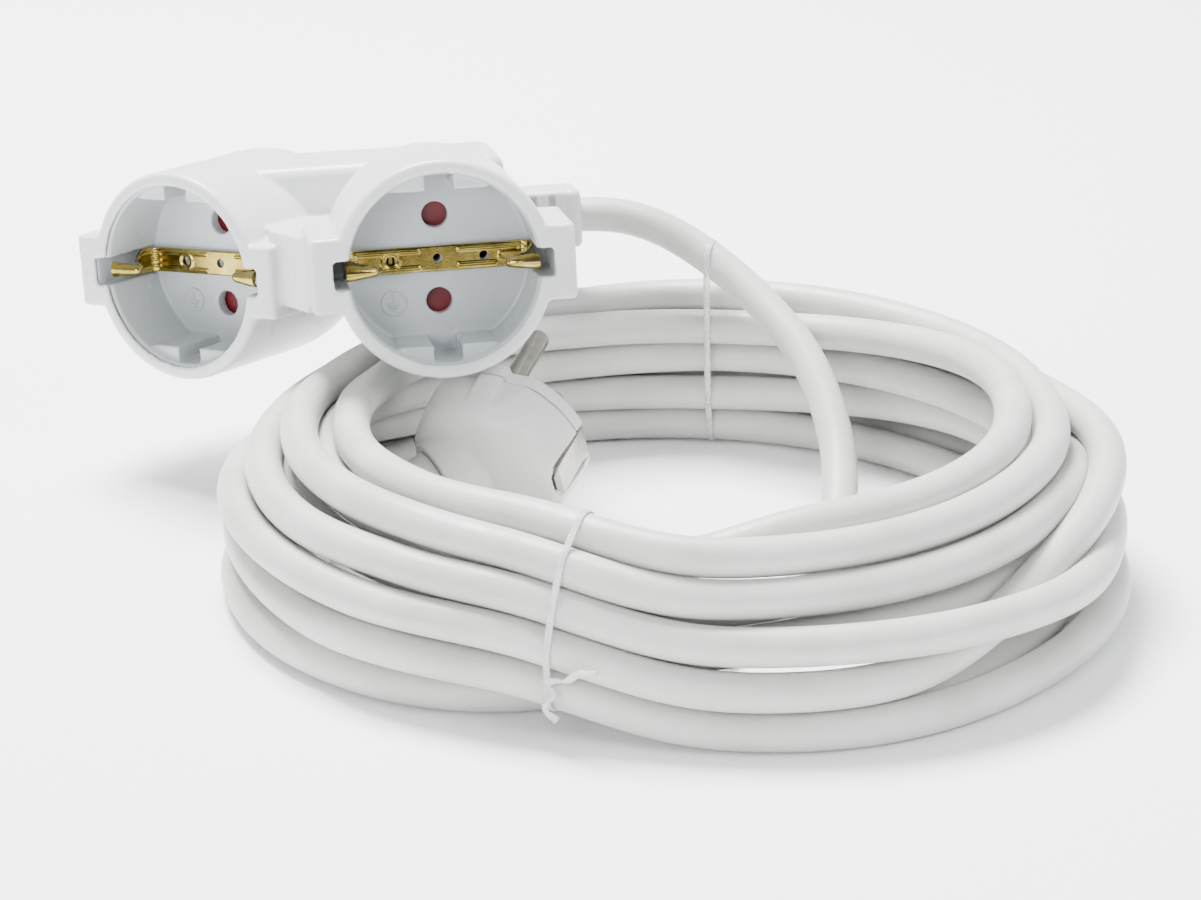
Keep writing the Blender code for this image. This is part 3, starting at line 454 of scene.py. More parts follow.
LOOKS = {
    "cord": sheath(),
    "housing": moulded("coupling_white", (0.63, 0.64, 0.64), 0.30),
    # Painted shade: the cup's white is darker and bluer than the housing's, for the shade in the socket's
    # recess.
    "insert": moulded("insert_white", (0.465, 0.50, 0.520), 0.24, spread=0.025),
    "plug": moulded("plug_white", (0.62, 0.63, 0.605), 0.38, grain=0.00004, spread=0.035),
    "carrier": moulded("carrier_white", (0.62, 0.63, 0.61), 0.32),
    "shutter": moulded("shutter_red", (0.135, 0.007, 0.013), 0.38, subsurface=0.02),
    # Brass and nickel colours are darkened to paint in dark reflections, and their lightest stops are painted
    # highlights.
    "brass": rolled("brass_strip", [(0.17, 0.13, 0.03), (0.35, 0.265, 0.065), (0.55, 0.435, 0.15)], 0.15),
    "nickel": rolled("nickel_plate", [(0.24, 0.23, 0.205), (0.33, 0.32, 0.285), (0.44, 0.425, 0.39)], 0.13),
    "steel": rolled("spring_wire", [(0.34, 0.34, 0.34), (0.52, 0.52, 0.52), (0.62, 0.62, 0.62)], 0.28),
    "tie": tie_film(),
    "brown": moulded("core_brown", (0.16, 0.07, 0.03), 0.42),
    "blue": moulded("core_blue", (0.04, 0.14, 0.46), 0.42),
    "earth": core_green_yellow(),
}

CAD_LOOKS = {
    "coupling_body": "housing",
    "right_socket_insert": "insert",
    "left_socket_insert": "insert",
    "right_earth_clip": "brass",
    "left_earth_clip": "brass",
    "right_shutter": "shutter",
    "left_shutter": "shutter",
    "right_shutter_spring": "steel",
    "left_shutter_spring": "steel",
    "line_busbar": "brass",
    "neutral_busbar": "brass",
    "earth_link": "brass",
    "coupling_line_core": "brown",
    "coupling_neutral_core": "blue",
    "coupling_earth_core": "earth",
    "coupling_cord_grip": "housing",
    "plug_body": "plug",
    "plug_pin_carrier": "carrier",
    "plug_upper_pin": "nickel",
    "plug_lower_pin": "nickel",
    "plug_earth_yoke": "nickel",
    "plug_line_core": "brown",
    "plug_neutral_core": "blue",
    "plug_earth_core": "earth",
    "plug_cord_grip": "plug",
    "twist_tie_front": "tie",
    "twist_tie_back": "tie",
}

for node_name, look in CAD_LOOKS.items():
    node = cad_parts[node_name]
    node.data.materials.clear()
    node.data.materials.append(LOOKS[look])


# ---- making pieces ------------------------------------------------------------------------------
def piece(name, mesh, look, body="lead", replaces=()):
    """A finished object in the row frame: its material, its body and what it stands for."""
    obj = bpy.data.objects.new(name, mesh)
    bpy.context.scene.collection.objects.link(obj)
    mesh.materials.clear()
    mesh.materials.append(LOOKS[look])
    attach(obj, body)
    if replaces:
        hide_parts(*replaces)
    return obj


def cord_mesh(route):
    """The sheath swept along its route, with the faint helical swell of the three cores laid inside."""
    sides = 24
    lay_length = 55 * MM
    forward = np.gradient(route, axis=0)
    forward /= np.linalg.norm(forward, axis=1)[:, None]
    normal = np.cross(forward[0], (0.0, 0.0, 1.0))
    along = np.concatenate([[0], np.cumsum(np.linalg.norm(np.diff(route, axis=0), axis=1))])
    rings = []
    for place, direction, distance in zip(route, forward, along):
        normal = normal - direction * np.dot(normal, direction)
        normal /= np.linalg.norm(normal)
        across = np.cross(direction, normal)
        angle = np.linspace(0, 2 * np.pi, sides, endpoint=False)
        swell = 1 + 0.009 * np.cos(3 * angle + 2 * np.pi * distance / lay_length)
        radius = CORD_DIAMETER / 2 * swell
        rings.append(
            place + (np.cos(angle) * radius)[:, None] * normal + (np.sin(angle) * radius)[:, None] * across
        )
    points = np.concatenate(rings)
    count = len(route)
    here = np.arange(sides)
    beside = (here + 1) % sides
    base = (np.arange(count - 1) * sides)[:, None]
    corners = [base + here, base + beside, base + sides + beside, base + sides + here]
    faces = np.stack(corners, axis=-1).reshape(-1, 4)
    caps = [list(range(sides))[::-1], [(count - 1) * sides + i for i in range(sides)]]
    mesh = bpy.data.meshes.new("supply_cord")
    mesh.from_pydata(points.tolist(), [], faces.tolist() + caps)
    mesh.shade_smooth()
    return mesh


cord = piece("supply_cord", cord_mesh(ROUTE), "cord", replaces=("cord_run", "cord_coil"))


# ---- shaping ------------------------------------------------------------------------------------
def block(low, high, bevel=0.0):
    """A box between two corners in mm, with rounded edges where bevel is given."""
    low, high = Vector(low), Vector(high)
    bm = bmesh.new()
    place = Matrix.Translation((low + high) / 2) @ Matrix.Diagonal((*(high - low), 1.0))
    bmesh.ops.create_cube(bm, size=1.0, matrix=place)
    if bevel:
        bmesh.ops.bevel(bm, geom=bm.edges, offset=bevel, segments=5, profile=0.5, affect="EDGES")
    return bm


def rod(start, end, radius, sides=64):
    """A cylinder from start to end."""
    start, end = Vector(start), Vector(end)
    turn = (end - start).to_track_quat("Z", "Y").to_matrix().to_4x4()
    bm = bmesh.new()
    bmesh.ops.create_cone(
        bm, cap_ends=True, segments=sides, radius1=radius, radius2=radius, depth=(end - start).length,
        matrix=Matrix.Translation((start + end) / 2) @ turn,
    )
    return bm


def turned(profile, steps=144):
    """A profile of (radius, z), from one end on the axis to the other, turned about Z."""
    bm = bmesh.new()
    rings = []
    for r, z in profile:
        count = steps if r else 1
        rings.append([
            bm.verts.new((r * np.cos(2 * np.pi * i / steps), r * np.sin(2 * np.pi * i / steps), z))
            for i in range(count)
        ])
    for first, second in zip(rings, rings[1:]):
        for i in range(steps):
            j = (i + 1) % steps
            if len(first) == 1:
                bm.faces.new((first[0], second[i], second[j]))
            elif len(second) == 1:
                bm.faces.new((first[i], second[0], first[j]))
            else:
                bm.faces.new((first[i], second[i], second[j], first[j]))
    return bm


def hull(points):
    """The convex solid round the points."""
    bm = bmesh.new()
    for point in points:
        bm.verts.new(point)
    made = bmesh.ops.convex_hull(bm, input=bm.verts)
    spare = [v for v in made["geom_interior"] + made["geom_unused"] if isinstance(v, bmesh.types.BMVert)]
    bmesh.ops.delete(bm, geom=list(set(spare)), context="VERTS")
    return bm


def prism(outline, low, high):
    """A convex flat outline of (x, y) points, made solid from low to high in z."""
    return hull([(x, y, z) for x, y in outline for z in (low, high)])


def helper(bm, matrix):
    """A linked object for modifiers to use, with its mesh taken from mm in a local frame to the row frame."""
    bmesh.ops.transform(bm, matrix=matrix @ Matrix.Scale(MM, 4), verts=bm.verts)
    bmesh.ops.recalc_face_normals(bm, faces=bm.faces)
    mesh = bpy.data.meshes.new("shape")
    bm.to_mesh(mesh)
    bm.free()
    obj = bpy.data.objects.new("shape", mesh)
    bpy.context.scene.collection.objects.link(obj)
    return obj


def sculpted(base, joined=(), cuts=(), voxel=0.0):
    """The mesh of base with shapes joined and cut, then remade as an even skin with softened edges.

    Each shape is a (bmesh, matrix) pair. Without a voxel size, the edges stay as cut.
    """
    target = helper(*base)
    others = []
    for operation, shapes in (("UNION", joined), ("DIFFERENCE", cuts)):
        for shape in shapes:
            other = helper(*shape)
            others.append(other)
            step = target.modifiers.new("step", "BOOLEAN")
            step.operation = operation
            step.object = other
            step.solver = "MANIFOLD"
    if voxel:
        skin = target.modifiers.new("skin", "REMESH")
        skin.mode = "VOXEL"
        skin.voxel_size = voxel * MM
        soft = target.modifiers.new("soft", "SMOOTH")
        soft.factor = 0.5
        soft.iterations = 3
    graph = bpy.context.evaluated_depsgraph_get()
    mesh = bpy.data.meshes.new_from_object(target.evaluated_get(graph))
    mesh.shade_smooth()
    for obj in (target, *others):
        bpy.data.objects.remove(obj, do_unlink=True)
    return mesh


def merged(*meshes):
    """One smooth-shaded mesh of several."""
    bm = bmesh.new()
    for mesh in meshes:
        bm.from_mesh(mesh)
    made = bpy.data.meshes.new("merged")
    bm.to_mesh(made)
    bm.free()
    made.shade_smooth()
    return made


def arc(centre, radius, start, end, steps):
    """(radius, z) points on an arc, from start to end in degrees."""
    angles = np.radians(np.linspace(start, end, steps))
    return [(centre[0] + radius * np.cos(a), centre[1] + radius * np.sin(a)) for a in angles]


# ---- coupling -----------------------------------------------------------------------------------
# Sizes in mm. In a socket's own frame, z runs from the front ring into the socket.
RING_RADIUS = 23.75
BACK_RADIUS = 16.4
# Where each barrel's shoulder starts and where the barrel ends.
BARRELS = {"right": (28.0, 58.0), "left": (32.0, 46.5)}
TAPER_END = 46.0
EDGE_ROUNDING = 1.3
MOUTH_RADIUS = 20.8
CUP_SEAT_RADIUS = 22.1
SHUTTER_ROOM_RADIUS = 15.4
# Half length and half width of the tabs, of their slots, of the notch in the front ring, and of the
# wings on the cup.
TAB = (28.5, 8.25)
TAB_SLOT = (25.6, 4.8)
NOTCH = (23.8, 3.1)
WING = (25.3, 4.5)
RECESS_DEPTH = 17.5
FLOOR_BACK = 20.4
PIN_AT = 9.5
CLIP_HOLE_AT = 10.2
# The cable's line through the bar and the bend relief.
CABLE_LINE = 66.0


def barrel(side):
    """One socket's outside: a straight barrel with a rounded front edge and a shoulder at its back."""
    start, end = BARRELS[side]
    shoulder = []
    for angle in np.radians(np.linspace(90, 3, 16)):
        radius = BACK_RADIUS + (RING_RADIUS - BACK_RADIUS) * np.cos(angle)
        shoulder.append((radius, start + (TAPER_END - start) * np.sin(angle)))
    front = arc((RING_RADIUS - EDGE_ROUNDING, EDGE_ROUNDING), EDGE_ROUNDING, 0, -90, 8)
    return turned([(0, end), (BACK_RADIUS, end), *shoulder, (RING_RADIUS, start), *front, (0, 0)])


def coupling_housing():
    """The V-shaped moulding: two barrels with side tabs, the bar behind, and everything hollow inside."""
    joined, cuts = [], []
    for side, place in SOCKETS.items():
        joined.append((barrel(side), place))
        joined.append((block((-TAB[0], -TAB[1], 0.1), (TAB[0], TAB[1], 27.0), 0.9), place))
        cuts += [
            (rod((0, 0, 1.0), (0, 0, 23.0), CUP_SEAT_RADIUS, sides=120), place),
            (rod((0, 0, -1.0), (0, 0, 2.0), MOUTH_RADIUS, sides=120), place),
            (block((-TAB_SLOT[0], -TAB_SLOT[1], 1.1), (TAB_SLOT[0], TAB_SLOT[1], 22.6)), place),
            (block((-NOTCH[0], -NOTCH[1], -0.7), (NOTCH[0], NOTCH[1], 1.6)), place),
            (rod((0, 0, 22.0), (0, 0, 41.0), SHUTTER_ROOM_RADIUS), place),
        ]
    web = [(-35.5, 35.0), (-28.8, 18.0), (-16.0, 18.0), (-16.0, 60.0), (-34.0, 60.0)]
    joined.append((prism(web, -10.5, 6.0), COUPLING))
    # The room in the bar, the two that open it to the right barrel, and the cable's way out.
    cuts += [
        (block((-33.0, 57.0, -13.2), (16.5, 77.0, 12.6)), COUPLING),
        (block((-8.0, 38.0, -13.1), (7.5, 60.0, 12.5)), COUPLING),
        (block((-12.5, 38.1, -6.5), (0.0, 59.9, 6.4)), COUPLING),
        (rod((12.0, CABLE_LINE, 0.0), (40.0, CABLE_LINE, 0.0), 3.9), COUPLING),
    ]
    bar = (block((-40.0, 53.0, -16.0), (20.0, 81.0, 17.0), 3.4), COUPLING)
    return sculpted(bar, joined, cuts, voxel=0.5)


def coupling_grip():
    """The bend relief: a block with two flexing slots in each side, and an end collar."""
    slots = []
    for x in (31.0, 26.6):
        for side in (-1, 1):
            middle = CABLE_LINE + side * 8.0
            slots.append((block((x - 0.8, middle - 3.2, -5.0), (x + 0.8, middle + 3.2, 5.6)), COUPLING))
    slots.append((rod((16.0, CABLE_LINE, 0.0), (39.0, CABLE_LINE, 0.0), 3.6), COUPLING))
    neck = (block((20.3, 59.3, -6.7), (35.0, 72.7, 6.7), 1.2), COUPLING)
    collar = (block((33.6, 59.2, -6.8), (37.9, 72.8, 6.8), 1.7), COUPLING)
    return sculpted(neck, [collar], slots, voxel=0.3)


def earth_symbol(place):
    """The generic earth mark, standing a little proud of the socket floor."""
    centre = Vector((-9.9, 9.3, 0.0))
    low, high = RECESS_DEPTH - 0.35, RECESS_DEPTH + 0.3
    ring = [(2.95, high), (2.88, low + 0.05), (2.80, low), (2.60, low), (2.52, low + 0.05), (2.45, high)]
    bm = bmesh.new()
    steps = 72
    loops = []
    for r, z in ring:
        angles = [2 * np.pi * i / steps for i in range(steps)]
        loops.append([bm.verts.new((centre.x + r * np.cos(a), centre.y + r * np.sin(a), z)) for a in angles])
    for first, second in zip(loops, loops[1:] + loops[:1]):
        for i in range(steps):
            j = (i + 1) % steps
            bm.faces.new((first[i], second[i], second[j], first[j]))
    # The stem and the three bars, each as two corners.
    bars = [(-0.2, -1.9, 0.2, 0.35), (-1.5, 0.1, 1.5, 0.5), (-1.0, 0.85, 1.0, 1.2), (-0.5, 1.5, 0.5, 1.85)]
    shapes = [sculpted((bm, place))]
    for x0, y0, x1, y1 in bars:
        mark = block((centre.x + x0, centre.y + y0, low), (centre.x + x1, centre.y + y1, high), 0.08)
        shapes.append(sculpted((mark, place)))
    return shapes


def socket_insert(side):
    """The cup inside a socket: wall with a fine lip, floor, guide blocks, pin holes and pivot."""
    place = SOCKETS[side]
    lip = arc((21.1, 2.0), 0.7, 0, -180, 9)
    outside = [(0, FLOOR_BACK), (21.8, FLOOR_BACK), (21.8, 2.0)]
    base = turned([*outside, *lip[1:], (20.4, RECESS_DEPTH), (0, RECESS_DEPTH)])
    joined = [(rod((0, 0, FLOOR_BACK - 1), (0, 0, 27.0), 1.4, sides=32), place)]
    for edge in (-1, 1):
        xs = sorted((edge * 20.9, edge * WING[0]))
        joined.append((block((xs[0], -WING[1], 1.4), (xs[1], WING[1], FLOOR_BACK - 0.1)), place))
    for row in (-1, 1):
        for column in (-1, 1):
            guide = [(3.1, 16.8), (10.4, 16.8), (11.8, 17.9), (8.0, 20.2), (3.1, 21.0)]
            corners = [(column * x, row * y) for x, y in guide]
            joined.append((prism(corners, 2.8, RECESS_DEPTH + 1), place))
    cuts = [
        (block((-NOTCH[0], -NOTCH[1], -1.0), (NOTCH[0], NOTCH[1], RECESS_DEPTH)), place),
        (rod((0, -PIN_AT, 15.0), (0, -PIN_AT, 22.0), 2.85), place),
        (rod((0, PIN_AT, 15.0), (0, PIN_AT, 22.0), 2.85), place),
    ]
    link_at = CLIP_HOLE_AT if side == "left" else -CLIP_HOLE_AT
    cuts += [
        (block((link_at - 0.9, -2.5, 15.0), (link_at + 0.9, 2.5, 22.0)), place),
        (rod((-link_at, 0, 15.0), (-link_at, 0, 22.0), 1.0, sides=32), place),
        (rod((0, 0, 15.0), (0, 0, 25.0), 0.9, sides=32), place),
    ]
    cup = sculpted((base, place), joined, cuts, voxel=0.34)
    return merged(cup, *earth_symbol(place))


def earth_clip(side):
    """The pressed brass strip: ribs, a ring boss and three holes, bent up into two curled fingers."""
    half_thickness = 0.4
    rib_height = 0.30
    # Half of the strip, from its middle to a finger's tip, as (x, z, half width).
    half = [
        (0.0, 16.7, 2.8), (6.0, 16.7, 2.8), (12.0, 16.7, 2.8), (17.6, 16.7, 2.8), (19.2, 16.4, 2.8),
        (20.2, 15.6, 2.8), (20.5, 14.3, 2.8), (20.4, 12.6, 2.7), (19.8, 10.9, 2.2), (18.1, 8.9, 1.5),
        (16.1, 7.1, 1.3), (14.5, 5.9, 1.15), (13.8, 4.8, 1.1), (14.5, 3.8, 1.15), (16.6, 3.3, 1.35),
        (18.8, 3.0, 1.6), (20.9, 2.8, 1.75),
    ]
    fine = np.array([tuple(p) for p in smooth_curve([Vector(p) for p in half], 0.2)])
    line = np.concatenate([fine[:0:-1] * (-1, 1, 1), fine])
    lengths = np.linalg.norm(np.diff(line[:, :2], axis=0), axis=1)
    along = np.concatenate([[0], np.cumsum(lengths)])
    along -= along[len(fine) - 1]
    direction = np.gradient(line[:, :2], axis=0)
    direction /= np.linalg.norm(direction, axis=1)[:, None]
    front = np.stack([direction[:, 1], -direction[:, 0]], axis=-1)
    across = np.linspace(-1, 1, 31)
    u = along[:, None] + 0 * across
    v = line[:, 2:] * across

    def rib(start, end, at, width=0.45, hollow=0.0):
        beyond = np.maximum(np.maximum(start - u, u - end), 0)
        away = np.abs(np.hypot(beyond, v - at) - hollow)
        return np.clip(1 - (away / width) ** 2, 0, 1)

    raised = rib_height * np.max([
        rib(-17.4, -4.2, -1.85), rib(-17.4, -4.2, 1.85), rib(4.8, 12.4, 1.65), rib(4.8, 19.0, -1.75),
        rib(14.2, 19.4, 0.1, 0.25, 0.75), rib(-CLIP_HOLE_AT, -CLIP_HOLE_AT, 0.0, 0.4, 1.8),
        rib(18.0, 26.0, -1.2, 0.4), rib(18.0, 26.0, 1.2, 0.4), rib(-26.0, -18.0, 0.0, 0.4),
        rib(-26.0, -18.0, -1.4, 0.4), rib(-26.0, -18.0, 1.4, 0.4),
    ], axis=0)
    gutter = 0.75 * ramp(np.abs(u), 25.0, 30.0) * across**2
    edge = 0.14 * np.clip((np.abs(across) - 0.93) / 0.07, 0, 1) ** 2
    top = half_thickness + raised - gutter - edge
    bottom = -half_thickness - gutter + edge
    count, width = u.shape

    def skin(offset):
        x = line[:, :1] + front[:, :1] * offset
        z = line[:, 1:2] + front[:, 1:] * offset
        return np.stack([x, v, z], axis=-1).reshape(-1, 3)

    bm = bmesh.new()
    verts = [bm.verts.new(p) for p in np.concatenate([skin(top), skin(bottom)])]
    base = count * width
    for i in range(count - 1):
        for j in range(width - 1):
            a, b = i * width + j, (i + 1) * width + j
            bm.faces.new((verts[a], verts[b], verts[b + 1], verts[a + 1]))
            bm.faces.new((verts[base + a], verts[base + a + 1], verts[base + b + 1], verts[base + b]))
        for j in (0, width - 1):
            a, b = i * width + j, (i + 1) * width + j
            bm.faces.new((verts[a], verts[base + a], verts[base + b], verts[b]))
    for i in (0, count - 1):
        for j in range(width - 1):
            a = i * width + j
            bm.faces.new((verts[a], verts[a + 1], verts[base + a + 1], verts[base + a]))
    holes = [
        (rod((at, 0, 15.0), (at, 0, 18.5), 1.05, sides=48), SOCKETS[side])
        for at in (-CLIP_HOLE_AT, 0.0, CLIP_HOLE_AT)
    ]
    mesh = sculpted((bm, SOCKETS[side]), cuts=holes)
    mesh.set_sharp_from_angle(angle=np.radians(50))
    return mesh


piece("coupling_housing", coupling_housing(), "housing", replaces=("coupling_body",))
piece("coupling_bend_relief", coupling_grip(), "housing", replaces=("coupling_cord_grip",))
for socket in SOCKETS:
    piece(
        f"{socket}_socket_cup", socket_insert(socket), "insert",
        replaces=(f"{socket}_socket_insert",),
    )
    piece(f"{socket}_earth_spring", earth_clip(socket), "brass", replaces=(f"{socket}_earth_clip",))


# ---- plug ---------------------------------------------------------------------------------------
GRIP_START = Vector((-7.0, 0.0, -17.0))
GRIP_ALONG = Vector((-0.574, 0.0, -0.819))
BOSS_END = GRIP_START + GRIP_ALONG * 4.5
PLUG_RADIUS = 18.8
KEY_FLAT = 16.3
PIN_RADIUS = 2.4
PIN_LENGTH = 19.0


def disc(centre, along, radius, steps=48):
    """Points round a circle."""
    turn = Vector(along).to_track_quat("Z", "Y").to_matrix()
    angles = [2 * np.pi * i / steps for i in range(steps)]
    return [Vector(centre) + turn @ Vector((radius * np.cos(a), radius * np.sin(a), 0)) for a in angles]


def plug_cuts(key_end, depth):
    """The earth contacts' side seats, and the key flats that fade out towards the back."""
    cuts = []
    for side in (-1, 1):
        xs = sorted((side * 16.6, side * 22.0))
        cuts.append((block((xs[0], -4.9, -16.4), (xs[1], 4.9, 1.0)), PLUG))
        for column in (-1, 1):
            corners = []
            for x in (column * 2.9, column * 12.6):
                for z, flat in ((1.0, KEY_FLAT), (key_end, depth)):
                    corners += [(x, side * flat, z), (x, side * 24.0, z)]
            cuts.append((hull(corners), PLUG))
    return cuts


def plug_shell():
    """The soft overmould: a slightly tapered side, a full rounded back, and a blend into the cable boss."""
    back = arc((13.4, -12.4), 4.6, 0, -72, 12)
    crown = [(11.0, -18.2), (7.0, -19.4), (3.0, -20.0), (0, -20.1)]
    profile = [(0, -3.5), (18.5, -3.5), (PLUG_RADIUS, -3.9), *back, *crown]
    blend = hull([
        *disc((0, 0, -11.0), (0, 0, 1), 14.0),
        *disc((-3.0, 0, -16.0), (0, 0, 1), 11.5),
        *disc(BOSS_END, GRIP_ALONG, 9.0),
    ])
    cuts = plug_cuts(-13.0, 17.7) + [
        (rod((0, 0, -16.6), (0, 0, 0), 11.6), PLUG),
        (rod((0, 0, -18.4), (0, 0, -16.0), 7.0), PLUG),
        (rod(BOSS_END, BOSS_END + GRIP_ALONG * 12, 7.7), PLUG),
        (rod(GRIP_START - GRIP_ALONG * 3, BOSS_END + GRIP_ALONG * 5, 3.9), PLUG),
        (block((-18.0, -2.3, -15.2), (18.0, 2.3, -13.6)), PLUG),
    ]
    return sculpted((turned(profile), PLUG), [(blend, PLUG)], cuts, voxel=0.34)


def plug_face():
    """The hard carrier at the front, with a locating skirt behind it and a bore for each pin."""
    rim = arc((17.9, -0.7), 0.7, 90, 0, 6)
    base = turned([(0, 0), *rim, (18.6, -3.2), (0, -3.2)])
    cuts = plug_cuts(-15.0, KEY_FLAT) + [(block((-8.5, -5.5, -12.0), (8.5, 5.5, -3.0)), PLUG)]
    for at in (-PIN_AT, PIN_AT):
        cuts.append((rod((0, at, -12.0), (0, at, 1.0), 2.6), PLUG))
    skirt = rod((0, 0, -9.0), (0, 0, -2.0), 11.2)
    return sculpted((base, PLUG), [(skirt, PLUG)], cuts, voxel=0.3)


def plug_pin(at):
    """A solid nickel-plated pin with a rounded tip."""
    angles = np.radians(np.linspace(8, 90, 12))
    tip = [(PIN_RADIUS * np.sin(a), PIN_LENGTH - 1.7 * (1 - np.cos(a))) for a in angles]
    profile = [(0, PIN_LENGTH), *tip, (PIN_RADIUS, -9.6), (1.5, -9.6), (1.5, -12.5), (0, -12.5)]
    mesh = sculpted((turned(profile, 96), PLUG @ Matrix.Translation((0, at * MM, 0))))
    mesh.set_sharp_from_angle(angle=np.radians(50))
    return mesh


plug_pieces = [
    piece("plug_overmould", plug_shell(), "plug", replaces=("plug_body",)),
    piece("plug_face_plate", plug_face(), "carrier", replaces=("plug_pin_carrier",)),
    piece("plug_line_pin", plug_pin(-PIN_AT), "nickel", replaces=("plug_upper_pin",)),
    piece("plug_neutral_pin", plug_pin(PIN_AT), "nickel", replaces=("plug_lower_pin",)),
]


# ---- ties ---------------------------------------------------------------------------------------
TIE_HALF_WIDTH = 0.75 * MM
TIE_HALF_THICKNESS = 0.2 * MM
TIE_WIRE = 0.34 * MM
KNOT_HEIGHT = 13 * MM
# Each tie's place from the coil's centre in mm, the way that it faces in degrees, and its CAD node.
TIES = {
    "front_tie": ((-24.5, -81.5), -116.0, "twist_tie_front"),
    "back_tie": ((11.0, 82.0), 71.6, "twist_tie_back"),
}


def tape(path, facing, closed):
    """A flat clear tape with a wire along its middle, swept on path with its face towards facing."""
    path = np.array(path)
    facing = np.array(facing)
    if closed:
        forward = np.roll(path, -1, axis=0) - np.roll(path, 1, axis=0)
    else:
        forward = np.gradient(path, axis=0)
    forward /= np.linalg.norm(forward, axis=1)[:, None]
    facing = facing - forward * np.sum(facing * forward, axis=1)[:, None]
    facing /= np.linalg.norm(facing, axis=1)[:, None]
    side = np.cross(forward, facing)
    t = np.linspace(-1, 1, 11)
    flat = TIE_HALF_THICKNESS * np.sqrt(np.clip(1 - t**8, 0, 1))
    height = flat + (TIE_WIRE - TIE_HALF_THICKNESS) * np.exp(-((t / 0.3) ** 2))
    upper = list(zip(t, height))
    section = upper + [(w, -h) for w, h in upper[-2:0:-1]]
    sides = len(section)
    rings = [path + side * (w * TIE_HALF_WIDTH) + facing * h for w, h in section]
    points = np.stack(rings, axis=1).reshape(-1, 3)
    count = len(path)
    faces = []
    for i in range(count if closed else count - 1):
        for j in range(sides):
            a, b = i * sides, (i + 1) % count * sides
            faces.append((a + j, a + (j + 1) % sides, b + (j + 1) % sides, b + j))
    if not closed:
        faces += [tuple(range(sides))[::-1], tuple((count - 1) * sides + j for j in range(sides))]
    mesh = bpy.data.meshes.new("tape")
    mesh.from_pydata(points.tolist(), [], faces)
    return mesh


def strands_at(middle, along):
    """(out, height) of each place where the cord passes through a tie's upright plane, in metres."""
    normal = np.array((-along[1], along[0]))
    flat = ROUTE[:, :2] - middle
    through = flat @ normal
    near = np.abs(flat @ along) < 30 * MM
    hits = np.nonzero((through[:-1] * through[1:] <= 0) & near[:-1])[0]
    share = (through[hits] / (through[hits] - through[hits + 1]))[:, None]
    places = ROUTE[hits] + (ROUTE[hits + 1] - ROUTE[hits]) * share
    return np.stack([(places[:, :2] - middle) @ along, places[:, 2]], axis=-1)


def round_bundle(strands):
    """The tight loop round all the strands, evenly spaced, with the way that its face points."""
    angles = np.radians(np.arange(0, 360, 3))
    ways = np.stack([np.cos(angles), np.sin(angles)], axis=-1)
    radius = CORD_DIAMETER / 2 + TIE_WIRE
    spots = (strands[:, None, :] + ways * radius).reshape(-1, 2)
    order = sorted(map(tuple, spots))

    def chain(points):
        kept = []
        for p in points:
            while len(kept) > 1:
                (ax, ay), (bx, by) = kept[-2], kept[-1]
                if (bx - ax) * (p[1] - ay) - (by - ay) * (p[0] - ax) > 0:
                    break
                kept.pop()
            kept.append(p)
        return kept[:-1]

    loop = np.array(chain(order) + chain(order[::-1]))
    loop = np.concatenate([loop, loop[:1]])
    reach = np.concatenate([[0], np.cumsum(np.linalg.norm(np.diff(loop, axis=0), axis=1))])
    even = np.linspace(0, reach[-1], 161)[:-1]
    loop = np.stack([np.interp(even, reach, loop[:, i]) for i in range(2)], axis=-1)
    for _ in range(2):
        loop = 0.5 * loop + 0.25 * (np.roll(loop, 1, axis=0) + np.roll(loop, -1, axis=0))
    loop[:, 1] = np.maximum(loop[:, 1], 0.45 * MM)
    step = np.roll(loop, -1, axis=0) - np.roll(loop, 1, axis=0)
    outward = np.stack([step[:, 1], -step[:, 0]], axis=-1)
    return loop, outward / np.linalg.norm(outward, axis=1)[:, None]


def twist_tie(middle, degrees):
    """A tie drawn round the bundle, its two ends twisted together and splayed on the outside."""
    along = np.array((np.cos(np.radians(degrees)), np.sin(np.radians(degrees))))
    middle = np.array(ROOT @ (Vector((*middle, 0.0)) * MM))[:2]
    loop, outward = round_bundle(strands_at(middle, along))

    def lifted(pairs):
        return np.concatenate([pairs[:, :1] * along, pairs[:, 1:]], axis=1)

    centre = np.array((*middle, 0.0))
    band = tape(centre + lifted(loop), lifted(outward), closed=True)
    knot_index = int(np.argmax(loop[:, 0] - 3.0 * np.abs(loop[:, 1] - KNOT_HEIGHT)))
    knot = centre + lifted(loop)[knot_index]
    out = np.array((*along, 0.0))
    side = np.array((-along[1], along[0], 0.0))
    up = np.array((0.0, 0.0, 1.0))
    ends = []
    # Each end's way from the knot in mm, as (along the bundle, outwards, upwards).
    routes = (
        [(0, 0.6, 0), (2.0, 1.6, 0.6), (4.6, 1.7, 1.6), (7.2, 1.5, 3.4), (9.6, 1.3, 4.2), (11.4, 1.4, 4.6)],
        [
            (0, 0.6, 0), (1.6, 1.4, -0.3), (2.4, 1.9, -1.8),
            (1.0, 1.9, -3.8), (0.6, 1.6, -5.6), (3.2, 1.9, -7.0),
        ],
    )
    for turn, stops in enumerate(routes):
        places = [Vector(knot + (side * s + out * o + up * z) * MM) for s, o, z in stops]
        path = np.array([tuple(p) for p in smooth_curve(places, 0.35 * MM)])
        share = np.linspace(0, 1, len(path))
        wind = share * 9 + turn * np.pi
        coil = 0.45 * MM * (1 - ramp(share, 0.35, 0.7))
        path = path + (np.cos(wind)[:, None] * out + np.sin(wind)[:, None] * up) * coil[:, None]
        facing = np.cos(wind * 0.6)[:, None] * out + np.sin(wind * 0.6)[:, None] * up
        ends.append(tape(path, facing, closed=False))
    return merged(band, *ends)


for tie_name, (tie_middle, tie_degrees, tie_node) in TIES.items():
    piece(tie_name, twist_tie(tie_middle, tie_degrees), "tie", replaces=(tie_node,))


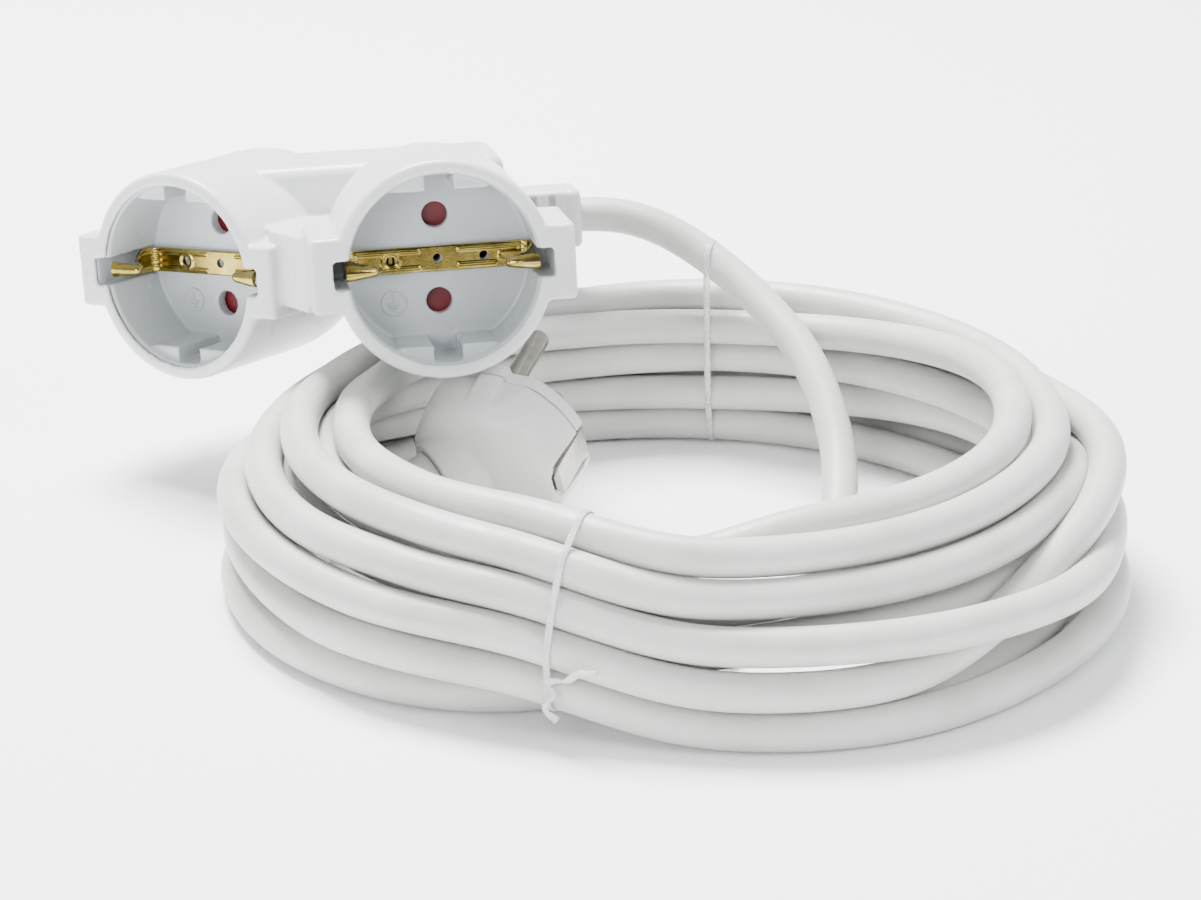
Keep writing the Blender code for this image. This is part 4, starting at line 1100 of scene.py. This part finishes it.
# ---- stage and light ----------------------------------------------------------------------------
def make_floor():
    bm = bmesh.new()
    bmesh.ops.create_grid(bm, x_segments=1, y_segments=1, size=6.0)
    mesh = bpy.data.meshes.new("floor")
    bm.to_mesh(mesh)
    bm.free()
    floor = bpy.data.objects.new("floor", mesh)
    floor.location.z = -0.1 * MM
    bpy.context.scene.collection.objects.link(floor)
    look = Surface("pale_floor").set(Roughness=0.75)
    look.colour(look.noise(6, 2), shades((0.97, 0.972, 0.975), 0.006, (1, 1, 1)))
    mesh.materials.append(look.material)


def area_light(name, place, aim, size, power, colour=(1.0, 1.0, 1.0)):
    light = bpy.data.lights.new(name, "AREA")
    light.shape = "DISK"
    light.size = size
    light.energy = power
    light.color = colour
    obj = bpy.data.objects.new(name, light)
    obj.location = place
    obj.rotation_euler = (Vector(aim) - Vector(place)).to_track_quat("-Z", "Y").to_euler()
    bpy.context.scene.collection.objects.link(obj)


def make_light():
    """Soft light all round and from above, darker behind the camera so that metal has contrast."""
    world = bpy.data.worlds.new("studio")
    world.use_nodes = True
    tree = world.node_tree
    background = tree.nodes["Background"]
    background.inputs["Color"].default_value = (0.96, 0.975, 1.0, 1.0)
    toward = tree.nodes.new("ShaderNodeVectorMath")
    toward.operation = "DOT_PRODUCT"
    toward.inputs[1].default_value = (0.0, -0.93, 0.36)
    spread = tree.nodes.new("ShaderNodeMapRange")
    spread.inputs["From Min"].default_value = 0.35
    spread.inputs["From Max"].default_value = 0.95
    spread.inputs["To Min"].default_value = 1.25
    spread.inputs["To Max"].default_value = 0.1
    tree.links.new(tree.nodes.new("ShaderNodeTexCoord").outputs["Generated"], toward.inputs[0])
    tree.links.new(toward.outputs["Value"], spread.inputs["Value"])
    tree.links.new(spread.outputs["Result"], background.inputs["Strength"])
    bpy.context.scene.world = world
    area_light("key", (-0.25, 0.45, 1.2), (0, 0, 0), 0.6, 80.0, (1.0, 0.995, 0.98))
    area_light("fill", (0.9, -0.7, 0.9), (0, 0, 0), 0.8, 12.0, (0.97, 0.98, 1.0))
    area_light("front", (-0.5, -1.2, 0.5), (-0.05, 0, 0.05), 0.6, 13.0)


make_floor()
make_light()

plug_pieces += [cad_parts[name] for name in (
    "plug_earth_yoke", "plug_line_core", "plug_neutral_core", "plug_earth_core", "plug_cord_grip",
)]
